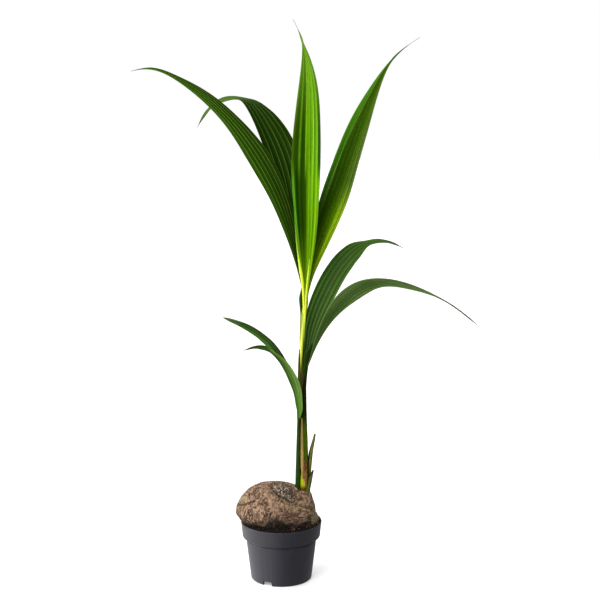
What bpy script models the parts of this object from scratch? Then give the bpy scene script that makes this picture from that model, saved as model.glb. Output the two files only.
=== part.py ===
# Young coconut palm: a sprouted nut sunk in a round nursery pot, with a sheathed stem
# and four two-lobed leaves.  Metres, +Z up, origin at the centre of the pot's underside.
import math

import bmesh
import bpy
import numpy as np

MM = 0.001
GAP = 0.35                      # clearance between neighbouring pieces, mm

# pot, mm
RIM_RADIUS, POT_HEIGHT, WALL = 95.0, 140.0, 1.9
COLLAR_RADIUS, COLLAR_HEIGHT = 91.0, 99.0      # lower edge of the turned-out collar
BODY_RADIUS, BODY_HEIGHT = 82.0, 88.0          # top of the tapered body
BASE_RADIUS, BASE_EDGE = 71.5, 2.5
HUB_RADIUS, FOOT_RADIUS, ARCH = 28.0, 67.0, 10.5   # the underside is arched between hub and foot ring
POT_SIDES = 48
NOTCHES, NOTCH_START, NOTCH_WIDTH, NOTCH_HEIGHT = 3, 243.0, 23.0, 10.5
SOIL_TOP = 127.0

# sprouted nut, mm: an egg lying on its side, its lower half sheared towards +X
NUT_X, NUT_Y, NUT_Z = -14.0, 0.0, 160.0
NUT_LENGTH, NUT_DEPTH, NUT_UP, NUT_DOWN = 95.0, 76.0, 75.0, 48.0
NUT_SHEAR, NUT_FLAT = 0.65, 2.4

# stem axis: height, x, y in mm
AXIS = ((195, 50, -8), (396, 48.6, -5), (490, 48.6, 0), (573, 48.1, 0), (664, 57, 0))
BLADE = 3.6                     # thickness of a leaf lobe at mid-length, mm
TIP = 2.2                       # thickness and width at its thread-like end, mm
PLEAT = 1.9                     # half the depth of the pleats where the lobe is widest, mm


# ---------------------------------------------------------------- building blocks
def clear_scene():
    for old in list(bpy.data.objects):
        bpy.data.objects.remove(old, do_unlink=True)
    for old in list(bpy.data.meshes):
        bpy.data.meshes.remove(old)


def material(name, colour, roughness, metallic=0.0):
    made = bpy.data.materials.get(name) or bpy.data.materials.new(name)
    made.use_nodes = True
    shader = made.node_tree.nodes["Principled BSDF"]
    shader.inputs["Base Color"].default_value = (*colour, 1.0)
    shader.inputs["Roughness"].default_value = roughness
    shader.inputs["Metallic"].default_value = metallic
    return made


def loft(name, rings, paint):
    """One closed body from equal rings of points (mm), with a fan at each end."""
    rings = np.asarray(rings, float) * MM
    stations, around = rings.shape[:2]
    mesh = bmesh.new()
    rows = [[mesh.verts.new(p) for p in ring] for ring in rings]
    for a, b in zip(rows, rows[1:]):
        for i in range(around):
            j = (i + 1) % around
            mesh.faces.new((a[i], a[j], b[j], b[i]))
    mesh.faces.new(reversed(rows[0]))
    mesh.faces.new(rows[-1])
    bmesh.ops.triangulate(mesh, faces=mesh.faces[:])
    if mesh.calc_volume(signed=True) < 0:
        bmesh.ops.reverse_faces(mesh, faces=mesh.faces[:])
    data = bpy.data.meshes.new(name)
    mesh.to_mesh(data)
    mesh.free()
    made = bpy.data.objects.new(name, data)
    bpy.context.scene.collection.objects.link(made)
    data.materials.append(paint)
    data.shade_smooth()
    data.set_sharp_from_angle(angle=math.radians(35))
    return made


def turned(name, profile, sides, paint, place=(0, 0)):
    """Body of revolution about Z through a closed (radius, height) profile, mm."""
    mesh = bmesh.new()
    rows = []
    for radius, height in profile:
        if radius < 1e-6:
            rows.append([mesh.verts.new((place[0] * MM, place[1] * MM, height * MM))])
            continue
        rows.append([mesh.verts.new(((place[0] + radius * math.cos(a)) * MM,
                                     (place[1] + radius * math.sin(a)) * MM, height * MM))
                     for a in np.arange(sides) * 2 * math.pi / sides])
    for a, b in zip(rows, rows[1:]):
        for i in range(sides):
            j = (i + 1) % sides
            if len(a) == 1:
                mesh.faces.new((a[0], b[j], b[i]))
            elif len(b) == 1:
                mesh.faces.new((a[i], a[j], b[0]))
            else:
                mesh.faces.new((a[i], a[j], b[j], b[i]))
    bmesh.ops.triangulate(mesh, faces=mesh.faces[:])
    if mesh.calc_volume(signed=True) < 0:
        bmesh.ops.reverse_faces(mesh, faces=mesh.faces[:])
    data = bpy.data.meshes.new(name)
    mesh.to_mesh(data)
    mesh.free()
    made = bpy.data.objects.new(name, data)
    bpy.context.scene.collection.objects.link(made)
    data.materials.append(paint)
    data.shade_smooth()
    data.set_sharp_from_angle(angle=math.radians(35))
    return made


def hide_cutter(tool):
    tool.hide_render = True
    tool.display_type = "WIRE"
    return tool


def cut(body, tool):
    step = body.modifiers.new("cut", "BOOLEAN")
    step.operation, step.solver, step.object = "DIFFERENCE", "EXACT", tool
    return body


# ---------------------------------------------------------------- pot and soil
def make_pot(paint):
    base_inner, body_inner = BASE_RADIUS - WALL, BODY_RADIUS - WALL
    profile = ((0, 0), (HUB_RADIUS, 0), (HUB_RADIUS + 3.0, ARCH), (FOOT_RADIUS - 1.0, ARCH),
               (FOOT_RADIUS, 0), (BASE_RADIUS - BASE_EDGE, 0), (BASE_RADIUS, BASE_EDGE),
               (BODY_RADIUS, BODY_HEIGHT), (COLLAR_RADIUS, COLLAR_HEIGHT),
               (RIM_RADIUS - 0.4, POT_HEIGHT - 1.2), (RIM_RADIUS - 0.8, POT_HEIGHT),
               (RIM_RADIUS - WALL, POT_HEIGHT), (COLLAR_RADIUS - WALL, COLLAR_HEIGHT + 0.6),
               (body_inner, BODY_HEIGHT + 0.6),
               (base_inner + 1.0, ARCH + WALL), (HUB_RADIUS + 1.5, ARCH + WALL),
               (HUB_RADIUS - 1.5, WALL), (0, WALL))
    pot = turned("pot", profile, POT_SIDES, paint)
    for k in range(NOTCHES):
        turn = math.radians(NOTCH_START + 360.0 / NOTCHES * k)
        bpy.ops.mesh.primitive_cube_add(size=1)
        tool = bpy.context.object
        tool.name = "notch_cutter_%d" % k
        tool.dimensions = (12 * MM, NOTCH_WIDTH * MM, (NOTCH_HEIGHT + 6) * MM)
        tool.location = (BASE_RADIUS * math.cos(turn) * MM, BASE_RADIUS * math.sin(turn) * MM,
                         (NOTCH_HEIGHT - 6) / 2 * MM)
        tool.rotation_euler = (0, 0, turn)
        cut(pot, hide_cutter(tool))
    return pot


def make_soil(paint, nut_cutter):
    inner = WALL + GAP + 0.1
    low = ARCH + WALL + GAP
    profile = ((0, WALL + GAP), (HUB_RADIUS - 3.0, WALL + GAP), (HUB_RADIUS, low),
               (BASE_RADIUS - inner + 1.0, low),
               (BODY_RADIUS - inner, BODY_HEIGHT + 1.2),
               (COLLAR_RADIUS - inner - 0.4, COLLAR_HEIGHT + 1.0),
               (COLLAR_RADIUS - inner + 2.4, SOIL_TOP - 1.5), (78.0, SOIL_TOP + 0.5),
               (0, SOIL_TOP))
    return cut(turned("soil", profile, POT_SIDES, paint), nut_cutter)


# ---------------------------------------------------------------- sprouted nut
def nut_rings(grow=0.0, levels=13, around=30):
    """Level rings of the nut, swollen outwards by grow mm."""
    rings = []
    for k in range(levels):
        polar = math.pi * (0.035 + 0.93 * k / (levels - 1))
        rise = -math.cos(polar)
        half = NUT_UP if rise > 0 else NUT_DOWN
        power = 2.0 if rise > 0 else NUT_FLAT
        reach = (1.0 - abs(rise) ** power) ** (1.0 / power)
        z = NUT_Z + rise * (half + grow)
        shear = NUT_SHEAR * max(0.0, NUT_Z - z)
        turn = np.arange(around) * 2 * math.pi / around
        lobe = 1.0 + 0.02 * np.cos(3.0 * turn + 0.6) * reach
        rings.append(np.stack([NUT_X + shear + (NUT_LENGTH + grow) * reach * np.cos(turn) * lobe,
                               NUT_Y + (NUT_DEPTH + grow) * reach * np.sin(turn) * lobe,
                               np.full(around, z)], axis=1))
    return rings


# ---------------------------------------------------------------- stem
def axis_at(z):
    table = np.array(AXIS, float)
    return np.stack([np.interp(z, table[:, 0], table[:, 1]),
                     np.interp(z, table[:, 0], table[:, 2])], axis=-1)


def rod(name, paint, stations, around=12):
    """Tapered rod: each station is (x, y, z, half width x, half width y) in mm."""
    turn = np.arange(around) * 2 * math.pi / around
    rings = [np.stack([x + a * np.cos(turn), y + b * np.sin(turn), np.full(around, z)], axis=1)
             for x, y, z, a, b in stations]
    return loft(name, rings, paint)


def wrap(name, paint, start, end, stations, steps=10):
    """Open sheath round the stem axis from bearing start to end (degrees).
    Each station is (z, inner radius, outer radius, share of the arc that is left)."""
    rings = []
    for z, inner, outer, share in stations:
        middle, half = (start + end) / 2, (end - start) / 2 * share
        turn = np.radians(np.linspace(middle - half, middle + half, steps))
        centre = axis_at(z)
        spoke = np.stack([np.cos(turn), np.sin(turn)], axis=1)
        flat = np.concatenate([centre + spoke * outer, (centre + spoke * inner)[::-1]])
        rings.append(np.column_stack([flat, np.full(len(flat), z)]))
    return loft(name, rings, paint)


# ---------------------------------------------------------------- leaves
def natural_spline(points, t):
    """Natural cubic spline through points by chord length, t from 0 to 1."""
    points = np.asarray(points, float)
    knots = np.r_[0, np.cumsum(np.linalg.norm(np.diff(points, axis=0), axis=1))]
    knots /= knots[-1]
    n, h = len(points), np.diff(knots)
    system, right = np.eye(n), np.zeros((n, 3))
    for i in range(1, n - 1):
        system[i, i - 1:i + 2] = h[i - 1], 2 * (h[i - 1] + h[i]), h[i]
        right[i] = 6 * ((points[i + 1] - points[i]) / h[i] - (points[i] - points[i - 1]) / h[i - 1])
    bend = np.linalg.solve(system, right)
    i = np.clip(np.searchsorted(knots, t) - 1, 0, n - 2)
    a, b, w = (knots[i + 1] - t)[:, None], (t - knots[i])[:, None], h[i][:, None]
    return (bend[i] * a ** 3 + bend[i + 1] * b ** 3) / (6 * w) \
        + (points[i] / w - bend[i] * w / 6) * a + (points[i + 1] / w - bend[i + 1] * w / 6) * b


def keyed(keys, t):
    """Smooth steps between (t, value) keys."""
    keys = np.asarray(keys, float)
    i = np.clip(np.searchsorted(keys[:, 0], t) - 1, 0, len(keys) - 2)
    x = np.clip((t - keys[i, 0]) / (keys[i + 1, 0] - keys[i, 0]), 0, 1)
    x = x * x * (3 - 2 * x)
    return keys[i, 1] * (1 - x) + keys[i + 1, 1] * x


def lobe_frame(route, bearing, roll, t):
    """Centre line, and the unit vectors across the lobe and out of its face."""
    centre = natural_spline(route, t)
    along = natural_spline(route, np.clip(t + 1e-3, 0, 1)) - natural_spline(route, np.clip(t - 1e-3, 0, 1))
    along /= np.linalg.norm(along, axis=1)[:, None]
    turn = math.radians(bearing)
    level = np.array([-math.sin(turn), math.cos(turn), 0])
    across = level - (along @ level)[:, None] * along
    across /= np.linalg.norm(across, axis=1)[:, None]
    face = np.cross(along, across)
    tilt = np.radians(keyed(roll, t))[:, None]
    return centre, across * np.cos(tilt) + face * np.sin(tilt), face * np.cos(tilt) - across * np.sin(tilt)


def lobe_width(t, wide, span, rise, fall, foot):
    """Lance-shaped width: power curves rising and falling, with a foot and a thread end."""
    x = np.clip((t - span[0]) / (span[1] - span[0]), 1e-6, 1 - 1e-6)
    peak = rise / (rise + fall)
    shape = (x / peak) ** rise * ((1 - x) / (1 - peak)) ** fall
    return np.sqrt((wide * shape) ** 2 + np.where(x < peak, foot, TIP) ** 2)


LOBES = {
    # name: route through (x, y, z) mm, widest mm, rise, fall, foot width, span, bearing,
    #       roll keys, pleats, cuts and stations between them
    "spear_lobe": dict(
        route=((57, -4, 665), (58, -16, 813), (58, -34, 953), (61, -54, 1092), (51, -70, 1245),
               (39, -81, 1281), (27, -90, 1308)),
        wide=68, rise=1.3, fall=1.0, foot=11, span=(0.03, 0.91), bearing=256,
        roll=((0, 10), (0.5, -12), (1, -8)), pleats=6, cuts=(0, 0.5, 1), stations=(7, 9)),
    "right_lobe": dict(
        route=((61, 5, 667), (66, 12, 730), (82, 20, 790), (125, 32, 915), (167, 42, 1043),
               (216, 52, 1158), (262, 59, 1228), (325, 64, 1265)),
        wide=70, rise=1.2, fall=1.3, foot=6, span=(0.02, 0.89), bearing=247,
        roll=((0, -3), (0.5, -15), (1, -9)), pleats=6, cuts=(0, 0.45, 0.76, 1), stations=(8, 5, 6)),
    "left_lobe": dict(
        route=((51, 3.5, 688), (27, 16, 801), (-11, 26, 913), (-72, 36, 1023), (-156, 46, 1115),
               (-238, 54, 1173), (-298, 58, 1193), (-346, 62, 1184)),
        wide=74, rise=1.1, fall=2.0, foot=6, span=(0, 1), bearing=155,
        roll=((0, 10), (0.5, -20), (1, -13)), pleats=6, cuts=(0, 0.42, 0.7, 1), stations=(7, 5, 7)),
    "back_lobe": dict(
        route=((50, 13, 690), (44, 33, 745), (36, 54, 817), (21, 86, 932), (-12, 111, 1028),
               (-55, 133, 1093), (-79, 154, 1113), (-147, 177, 1111), (-202, 205, 1046)),
        wide=73, rise=1.45, fall=1.2, foot=6, span=(0, 1), bearing=118,
        roll=((0, 18), (0.5, -10), (0.76, 12), (0.88, -53), (1, -119)),
        pleats=6, cuts=(0, 0.44, 0.76, 1), stations=(6, 6, 5)),
    "mid_back_lobe": dict(
        route=((58, 5.5, 512), (70, 23, 596), (99, 43, 678), (147, 65, 751), (203, 83, 789),
               (249, 96, 788), (295, 110, 765)),
        wide=51, rise=0.9, fall=0.9, foot=6, span=(0, 0.96), bearing=32,
        roll=((0, 51), (0.5, 65), (0.75, -5), (1, 52)), pleats=5, cuts=(0, 0.45, 0.72, 1),
        stations=(6, 5, 6)),
    "mid_front_lobe": dict(
        route=((62, -6, 513), (87, -26, 588), (136, -52, 668), (209, -80, 721), (288, -106, 718),
               (367, -135, 690), (439, -165, 641)),
        wide=73, rise=1.0, fall=1.1, foot=6, span=(0, 0.85), bearing=335,
        roll=((0, 13), (0.5, -26), (1, -30)), pleats=6, cuts=(0, 0.32, 0.6, 1), stations=(5, 5, 6)),
    "low_front_lobe": dict(
        route=((43.5, -20, 396), (39, -33, 455), (23, -53, 506), (-15, -80, 562), (-51, -98, 582),
               (-84, -112, 577)),
        wide=36, rise=0.9, fall=1.1, foot=6, span=(-0.3, 1), bearing=208,
        roll=((0, 0), (0.5, 14), (1, 35)), pleats=3, cuts=(0, 0.55, 1), stations=(5, 5)),
    "low_back_lobe": dict(
        route=((39, -8, 437), (19, -6, 494), (-17, -1, 554), (-69, 3, 598), (-134, 8, 626)),
        wide=20, rise=1.3, fall=0.7, foot=6, span=(-0.1, 1), bearing=229,
        roll=((0, 33), (0.5, 23), (1, 32)), pleats=3, cuts=(0, 1), stations=(8,)),
}


def make_lobe(name, paint, route, wide, rise, fall, foot, span, bearing, roll, pleats, cuts, stations):
    """A pleated blade, cut across into shorter pieces that stand GAP apart."""
    length = np.linalg.norm(np.diff(np.array(route, float), axis=0), axis=1).sum()
    side = np.linspace(-1, 1, 2 * pleats + 1)
    fold = PLEAT * (-1.0) ** np.arange(len(side))
    for k, count in enumerate(stations):
        inset = GAP / length / 2
        t = np.linspace(cuts[k] + (inset if k else 0), cuts[k + 1] - (inset if cuts[k + 1] < 1 else 0), count)
        centre, across, face = lobe_frame(route, bearing, roll, t)
        half = lobe_width(t, wide, span, rise, fall, foot) / 2
        thick = np.interp(t, (0, 0.1, 0.75, 1), (3.0, BLADE, BLADE, TIP))
        rings = []
        for c, s, n, h, d in zip(centre, across, face, half, thick):
            rib = fold * min(1.0, h / (0.4 * wide))
            top = c + np.outer(side * h, s) + np.outer(rib + d / 2, n)
            under = c + np.outer(side * h, s) + np.outer(rib - d / 2, n)
            rings.append(np.concatenate([top, under[::-1]]))
        names = {1: ("",), 2: ("_lower", "_upper"), 3: ("_lower", "_middle", "_tip")}
        suffix = names[len(stations)][k]
        loft(name + suffix, rings, paint)


# ---------------------------------------------------------------- the plant
def main():
    clear_scene()
    plastic = material("pot_plastic", (0.035, 0.037, 0.042), 0.42)
    earth = material("potting_soil", (0.022, 0.016, 0.012), 0.95)
    husk = material("husk", (0.23, 0.16, 0.10), 0.85)
    core_green = material("stem_green", (0.10, 0.16, 0.03), 0.5)
    sheath_green = material("sheath_green", (0.13, 0.20, 0.04), 0.5)
    dark_green = material("dark_sheath", (0.02, 0.035, 0.012), 0.45)
    yellow = material("stalk_yellow", (0.50, 0.55, 0.10), 0.45)
    fibre = material("fibre_brown", (0.20, 0.08, 0.04), 0.85)
    straw = material("dry_straw", (0.42, 0.30, 0.16), 0.8)
    bright = material("young_leaf", (0.16, 0.36, 0.02), 0.42)
    deep = material("old_leaf", (0.03, 0.11, 0.015), 0.42)
    olive = material("low_leaf", (0.09, 0.17, 0.05), 0.5)

    make_pot(plastic)
    nut_tool = hide_cutter(loft("nut_cutter", nut_rings(GAP + 0.15), husk))
    make_soil(earth, nut_tool)
    loft("coconut", nut_rings(), husk)

    # stem: a core rod, two open sheaths that face each other, and dry remains round the foot
    base = [(z, *axis_at(z)) for z in (196, 300, 396, 450, 505)]
    cut(rod("stem_core", core_green,
            [(x, y, z, r, r) for (z, x, y), r in zip(base, (10.5, 8.5, 6.8, 6.4, 6.2))]), nut_tool)
    cut(wrap("low_leaf_sheath", sheath_green, 92, 262,
             ((196, 11.0, 16.0, 1), (300, 9.0, 13.8, 1), (360, 7.9, 12.0, 0.9), (394, 7.3, 10.8, 0.75))),
        nut_tool)
    cut(wrap("mid_leaf_sheath", dark_green, -90, 84,
             ((196, 11.0, 15.2, 1), (300, 9.0, 13.0, 1), (396, 7.3, 10.6, 1), (450, 6.9, 9.6, 0.9),
              (508, 6.7, 9.0, 0.62))), nut_tool)
    wrap("inner_sheath", dark_green, 125, 262,
         ((453, 6.9, 9.2, 0.7), (466, 6.8, 9.8, 1), (500, 6.7, 9.6, 1), (530, 6.2, 8.2, 0.8),
          (552, 5.7, 7.0, 0.5)))
    wrap("dry_strip", straw, 250, 284,
         ((272, 14.9, 16.3, 0.6), (300, 14.3, 15.7, 1), (350, 13.0, 14.3, 1), (393, 11.7, 12.9, 0.5)), 5)
    cut(wrap("fibre_sheath", fibre, 268, 338,
             ((199, 16.0, 18.2, 1), (240, 15.2, 17.2, 1), (275, 14.4, 16.0, 0.7), (300, 13.6, 14.8, 0.3)), 8),
        nut_tool)
    rod("low_leaf_rachis", sheath_green, ((38.2, -1.2, 394.4, 2.4, 2.4), (38.2, -2.6, 415, 2.4, 2.4),
                                          (38.6, -6.5, 432, 2.4, 2.4)), 8)
    cut(rod("tall_scale", sheath_green,
            ((70.0, -1.0, 198, 3.6, 8.0), (69.6, -1.5, 240, 4.4, 7.0), (69.8, -2.5, 285, 4.6, 5.4),
             (72.6, -4, 320, 3.6, 3.6), (75.8, -5, 340, 2.0, 2.0), (78.6, -6, 351, 0.8, 0.9)), 10), nut_tool)
    cut(rod("short_scale", dark_green,
            ((71.4, -14.5, 198, 3.4, 3.4), (71.8, -14.5, 225, 3.2, 3.0), (73.4, -14.5, 250, 2.2, 2.0),
             (75.0, -14.5, 264, 0.8, 0.8)), 10), nut_tool)

    rod("young_stalk", yellow, ((48.6, 0, 505.5, 5.0, 5.0), (48.1, 0, 573, 4.6, 4.4),
                                (52, 0, 630, 5.6, 4.0), (58, 0.5, 661.5, 7.0, 6.5)), 14)
    rod("back_stalk", dark_green, ((45.5, 9.5, 508, 3.0, 2.6), (45.0, 9.2, 573, 3.0, 2.8),
                                   (45.4, 8.4, 640, 3.4, 3.0), (45.6, 7.8, 664, 5.0, 3.8),
                                   (47.6, 7.4, 678, 5.6, 4.6), (50.0, 7.2, 686.5, 4.6, 5.4)), 10)

    paints = {"spear_lobe": bright, "right_lobe": bright, "low_front_lobe": olive, "low_back_lobe": olive}
    for name, lobe in LOBES.items():
        make_lobe(name, paints.get(name, deep), **lobe)


main()
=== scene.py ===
import math

import bpy
import numpy as np
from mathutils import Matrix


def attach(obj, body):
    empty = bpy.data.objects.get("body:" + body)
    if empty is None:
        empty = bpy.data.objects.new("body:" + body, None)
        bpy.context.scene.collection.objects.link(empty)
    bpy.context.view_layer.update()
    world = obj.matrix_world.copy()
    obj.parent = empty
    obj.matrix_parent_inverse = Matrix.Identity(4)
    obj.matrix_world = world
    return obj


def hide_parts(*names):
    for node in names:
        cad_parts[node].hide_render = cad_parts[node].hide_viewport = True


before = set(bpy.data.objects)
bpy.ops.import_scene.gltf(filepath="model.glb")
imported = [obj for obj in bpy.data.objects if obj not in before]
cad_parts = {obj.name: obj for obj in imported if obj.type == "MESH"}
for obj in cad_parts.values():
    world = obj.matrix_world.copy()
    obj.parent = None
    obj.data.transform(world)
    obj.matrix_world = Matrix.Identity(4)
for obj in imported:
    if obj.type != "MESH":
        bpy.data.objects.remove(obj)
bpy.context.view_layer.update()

MM = 0.001

# ------------------------------------------------------------------ nursery pot
# A thin injection-moulded pot in matt charcoal polypropylene: tapered body, turned-out collar
# with a rolled lip, an arched underside and three drain notches through the foot ring.


def srgb(red, green, blue):
    """Colour from screen values 0 to 255: each is divided by 255 and decoded to linear light."""
    part = np.array([red, green, blue]) / 255.0
    return tuple(np.where(part < 0.04045, part / 12.92, ((part + 0.055) / 1.055) ** 2.4)) + (1.0,)


class Link:
    """A node's output socket that takes part in Python arithmetic, adding its Math nodes."""

    def __init__(self, finish, socket):
        self.finish, self.socket = finish, socket

    def math(self, operation, *others):
        values = dict(enumerate((self, *others)))
        return self.finish.node("ShaderNodeMath", {"operation": operation}, values)

    def __add__(self, other):
        return self.math("ADD", other)

    def __sub__(self, other):
        return self.math("SUBTRACT", other)

    def __mul__(self, other):
        return self.math("MULTIPLY", other)

    def __pow__(self, other):
        return self.math("POWER", other)

    def __rsub__(self, other):
        return (self * -1.0) + other

    __radd__, __rmul__ = __add__, __mul__

    def clamp(self):
        """The value held between 0 and 1."""
        return self.math("MAXIMUM", 0.0).math("MINIMUM", 1.0)

    def step(self, low, high):
        """Smooth step from 0 at low to 1 at high."""
        return self.finish.node("ShaderNodeMapRange", {"interpolation_type": "SMOOTHSTEP"},
                                {0: self, 1: low, 2: high, 3: 0.0, 4: 1.0})


class Finish:
    """A material under construction: node() adds any node, and mix() blends two colours."""

    def __init__(self, name, roughness=0.5, **constants):
        self.material = bpy.data.materials.new(name)
        self.material.use_nodes = True
        self.tree = self.material.node_tree
        self.shader = self.tree.nodes["Principled BSDF"]
        self.set(Roughness=roughness, **constants)

    def node(self, kind, settings=None, inputs=None, output=0):
        made = self.tree.nodes.new(kind)
        for key, value in (settings or {}).items():
            if key != "stops":
                setattr(made, key, value)
                continue
            ramp = made.color_ramp
            while len(ramp.elements) < len(value):
                ramp.elements.new(1.0)
            for stop, (place, colour) in zip(ramp.elements, value):
                stop.position, stop.color = place, colour
        for key, value in (inputs or {}).items():
            if isinstance(value, Link):
                self.tree.links.new(value.socket, made.inputs[key])
            else:
                made.inputs[key].default_value = value
        return Link(self, made.outputs[output])

    def set(self, **sockets):
        for key, value in sockets.items():
            target = self.shader.inputs[key.replace("_", " ")]
            if isinstance(value, Link):
                self.tree.links.new(value.socket, target)
            else:
                target.default_value = value

    def place(self, output="Object"):
        return self.node("ShaderNodeTexCoord", output=output)

    def coordinate(self, number, output="Object"):
        """X, Y or Z of the piece in metres by its number, 0 to 2, or U or V of its UV map."""
        return self.node("ShaderNodeSeparateXYZ", None, {0: self.place(output)}, output=number)

    def noise(self, where, scale, detail=3.0, rough=0.5, stretch=None):
        """Fractal noise about 0.5; stretch scales the axes of its space first."""
        if stretch is not None:
            where = self.node("ShaderNodeMapping", None, {"Vector": where, "Scale": stretch})
        return self.node("ShaderNodeTexNoise", None,
                         {"Vector": where, "Scale": scale, "Detail": detail, "Roughness": rough})

    def streaks(self, across, along, detail=4.0, rough=0.6):
        """Noise over the UV map, with so many cells to each unit across and along it."""
        return self.noise(self.place("UV"), 1.0, detail, rough, stretch=(across, along, 1.0))

    def mix(self, factor, first, second, kind="MIX"):
        return self.node("ShaderNodeMix", {"data_type": "RGBA", "blend_type": kind},
                         {0: factor, 6: first, 7: second}, output=2)

    def ramp(self, value, *stops):
        """Colours over a value; each stop is a place, then red, green and blue, 0 to 255."""
        decoded = [(at, srgb(*colour)) for at, *colour in stops]
        return self.node("ShaderNodeValToRGB", {"stops": decoded}, {0: value})

    def bump(self, height, depth, strength=1.0):
        """Relief of depth metres from a 0 to 1 height, into the shader's Normal."""
        self.set(Normal=self.node("ShaderNodeBump", None,
                                  {"Height": height, "Distance": depth, "Strength": strength}))


def solid(name, points, faces, finish, slot, *nodes, uv=None, crease=None):
    """One piece from an (n, 3) array in metres and lists of faces, riding on the plant."""
    mesh = bpy.data.meshes.new(name)
    mesh.from_pydata(np.asarray(points, float).tolist(), [], faces)
    mesh.update()
    if uv is not None:
        corner = np.empty(len(mesh.loops), int)
        mesh.loops.foreach_get("vertex_index", corner)
        mesh.uv_layers.new(name="UVMap").data.foreach_set("uv", np.asarray(uv)[corner].ravel())
    mesh.shade_smooth()
    if crease is not None:
        mesh.set_sharp_from_angle(angle=math.radians(crease))
    mesh.materials.append(finish.material)
    piece = bpy.data.objects.new(name, mesh)
    bpy.context.scene.collection.objects.link(piece)
    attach(piece, "root")
    if nodes:
        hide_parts(*nodes)
    return piece


def skin(rings):
    """Closed tube through (m, n, 3) rings: quads between neighbouring rings, and a fan of
    triangles from the mean of each end ring.  Returns points and faces."""
    m, n = rings.shape[:2]
    i, j = np.meshgrid(np.arange(m - 1), np.arange(n), indexing="ij")
    k = (j + 1) % n
    quads = np.stack([i * n + j, i * n + k, (i + 1) * n + k, (i + 1) * n + j], axis=-1).reshape(-1, 4)
    points = np.concatenate([rings.reshape(-1, 3), rings[:1].mean(axis=1), rings[-1:].mean(axis=1)])
    a, b = np.arange(n), (np.arange(n) + 1) % n
    low = np.stack([b, a, np.full(n, m * n)], axis=1)
    high = np.stack([a, b, np.full(n, m * n + 1)], axis=1) + [(m - 1) * n, (m - 1) * n, 0]
    faces = quads.tolist() + low.tolist() + high.tolist()
    first, second, third = (points[quads[:, c]] for c in (0, 1, 2))
    outward = np.einsum("ij,ij->i", np.cross(second - first, third - first), first).sum()
    return points, faces if outward > 0 else [face[::-1] for face in faces]


def rounded(corners, radius, steps=4):
    """Profile through (r, z) corners, each cut back by up to radius and bent round in steps."""
    corners = np.asarray(corners, float)
    out = [corners[0]]
    for before, here, after in zip(corners, corners[1:], corners[2:]):
        back, on = before - here, after - here
        cut = min(radius, 0.4 * np.linalg.norm(back), 0.4 * np.linalg.norm(on))
        p, q = here + back / np.linalg.norm(back) * cut, here + on / np.linalg.norm(on) * cut
        w = np.linspace(0, 1, steps)[:, None]
        out.extend((1 - w) ** 2 * p + 2 * w * (1 - w) * here + w ** 2 * q)
    return np.array(out + [corners[-1]])


# Corners (radius, height) in mm: out under the foot, up the wall and collar, and back inside.
POT_PROFILE = [
    (0.2, 0), (28, 0), (31, 10.5), (66, 10.5), (67, 0), (69, 0), (71.5, 2.5), (82.6, 95.4), (80.6, 97.2),
    (80.6, 100.6), (84, 102.6), (90.6, 103.8), (91.3, 105.2), (94.0, 131.5), (94.3, 134.5), (94.75, 136.5),
    (94.9, 139.0), (94.1, 140), (93.2, 139.4), (89.4, 107.5), (79.2, 103), (78.6, 94), (70.7, 12.4),
    (29.5, 12.4), (26.5, 1.9), (0.2, 1.9)]
CORNER_RADIUS = 1.0
FOOT_INSIDE, FOOT_OUTSIDE = 64, 67.5          # radii between which the foot ring stands
WALL_FOOT, WALL_SPREAD, WALL_HEIGHT = 71.5, 10.4, 87    # the wall's radius at its foot, and its taper
NOTCH_BEARINGS, NOTCH_TOP = np.radians([243, 3, 123]), 10.4
NOTCH_SPAN, NOTCH_EDGE = 10.8 / WALL_FOOT, 0.012        # half width and soft edge, radians


def pot_rings(sides=288):
    """Turned profile; inside each notch's bearing every point of the wall below its top is
    lifted to the arch, so the foot ring and the wall's lowest band part there."""
    profile = rounded(POT_PROFILE, CORNER_RADIUS)
    turn = np.arange(sides) * 2 * math.pi / sides
    away = np.abs((turn[:, None] - NOTCH_BEARINGS + math.pi) % (2 * math.pi) - math.pi).min(axis=1)
    lift = np.clip((NOTCH_SPAN - away) / NOTCH_EDGE + 0.5, 0, 1)
    r, z = profile[:, 0][:, None], profile[:, 1][:, None]
    low = (r > FOOT_INSIDE) & (z < NOTCH_TOP + 0.4)
    height = np.where(low, z + (NOTCH_TOP - z) * lift, z)
    wall = WALL_FOOT + WALL_SPREAD * height / WALL_HEIGHT - CORNER_RADIUS
    radius = np.where(low & (r > FOOT_OUTSIDE), r + lift * (wall - r) * (z < 3), r + 0 * lift)
    return np.stack([radius * np.cos(turn), radius * np.sin(turn), height + 0 * lift], axis=-1) * MM


plastic = Finish("charcoal_polypropylene", roughness=0.4, Specular_IOR_Level=0.5)
spot = plastic.place()
scuff = plastic.noise(spot, 38.0, 4.0, 0.6)
streak = plastic.noise(spot, 60.0, 2.0, 0.5, stretch=(1.0, 1.0, 0.08))
dust = (plastic.noise(spot, 260.0, 3.0, 0.65) - 0.6).clamp() * 1.2
tone = plastic.mix((scuff - 0.3).clamp(), srgb(31, 30, 40), srgb(38, 37, 47))
plastic.set(Base_Color=plastic.mix((dust * 0.5).clamp(), tone, srgb(112, 106, 98)),
            Roughness=(scuff * 0.16) + (streak * 0.1) + 0.27)
plastic.bump(streak * 0.7 + plastic.noise(spot, 900.0, 2.0) * 0.3, 0.00025, 0.35)
solid("nursery_pot", *skin(pot_rings()), plastic, "pot", "pot", crease=40)

# ------------------------------------------------------------------ potting soil
# Damp dark peat mix that fills the pot to 13 mm under the lip, crumbly on top, with bark
# crumbs and a few grains of white perlite; the nut lies bedded in it.

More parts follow.
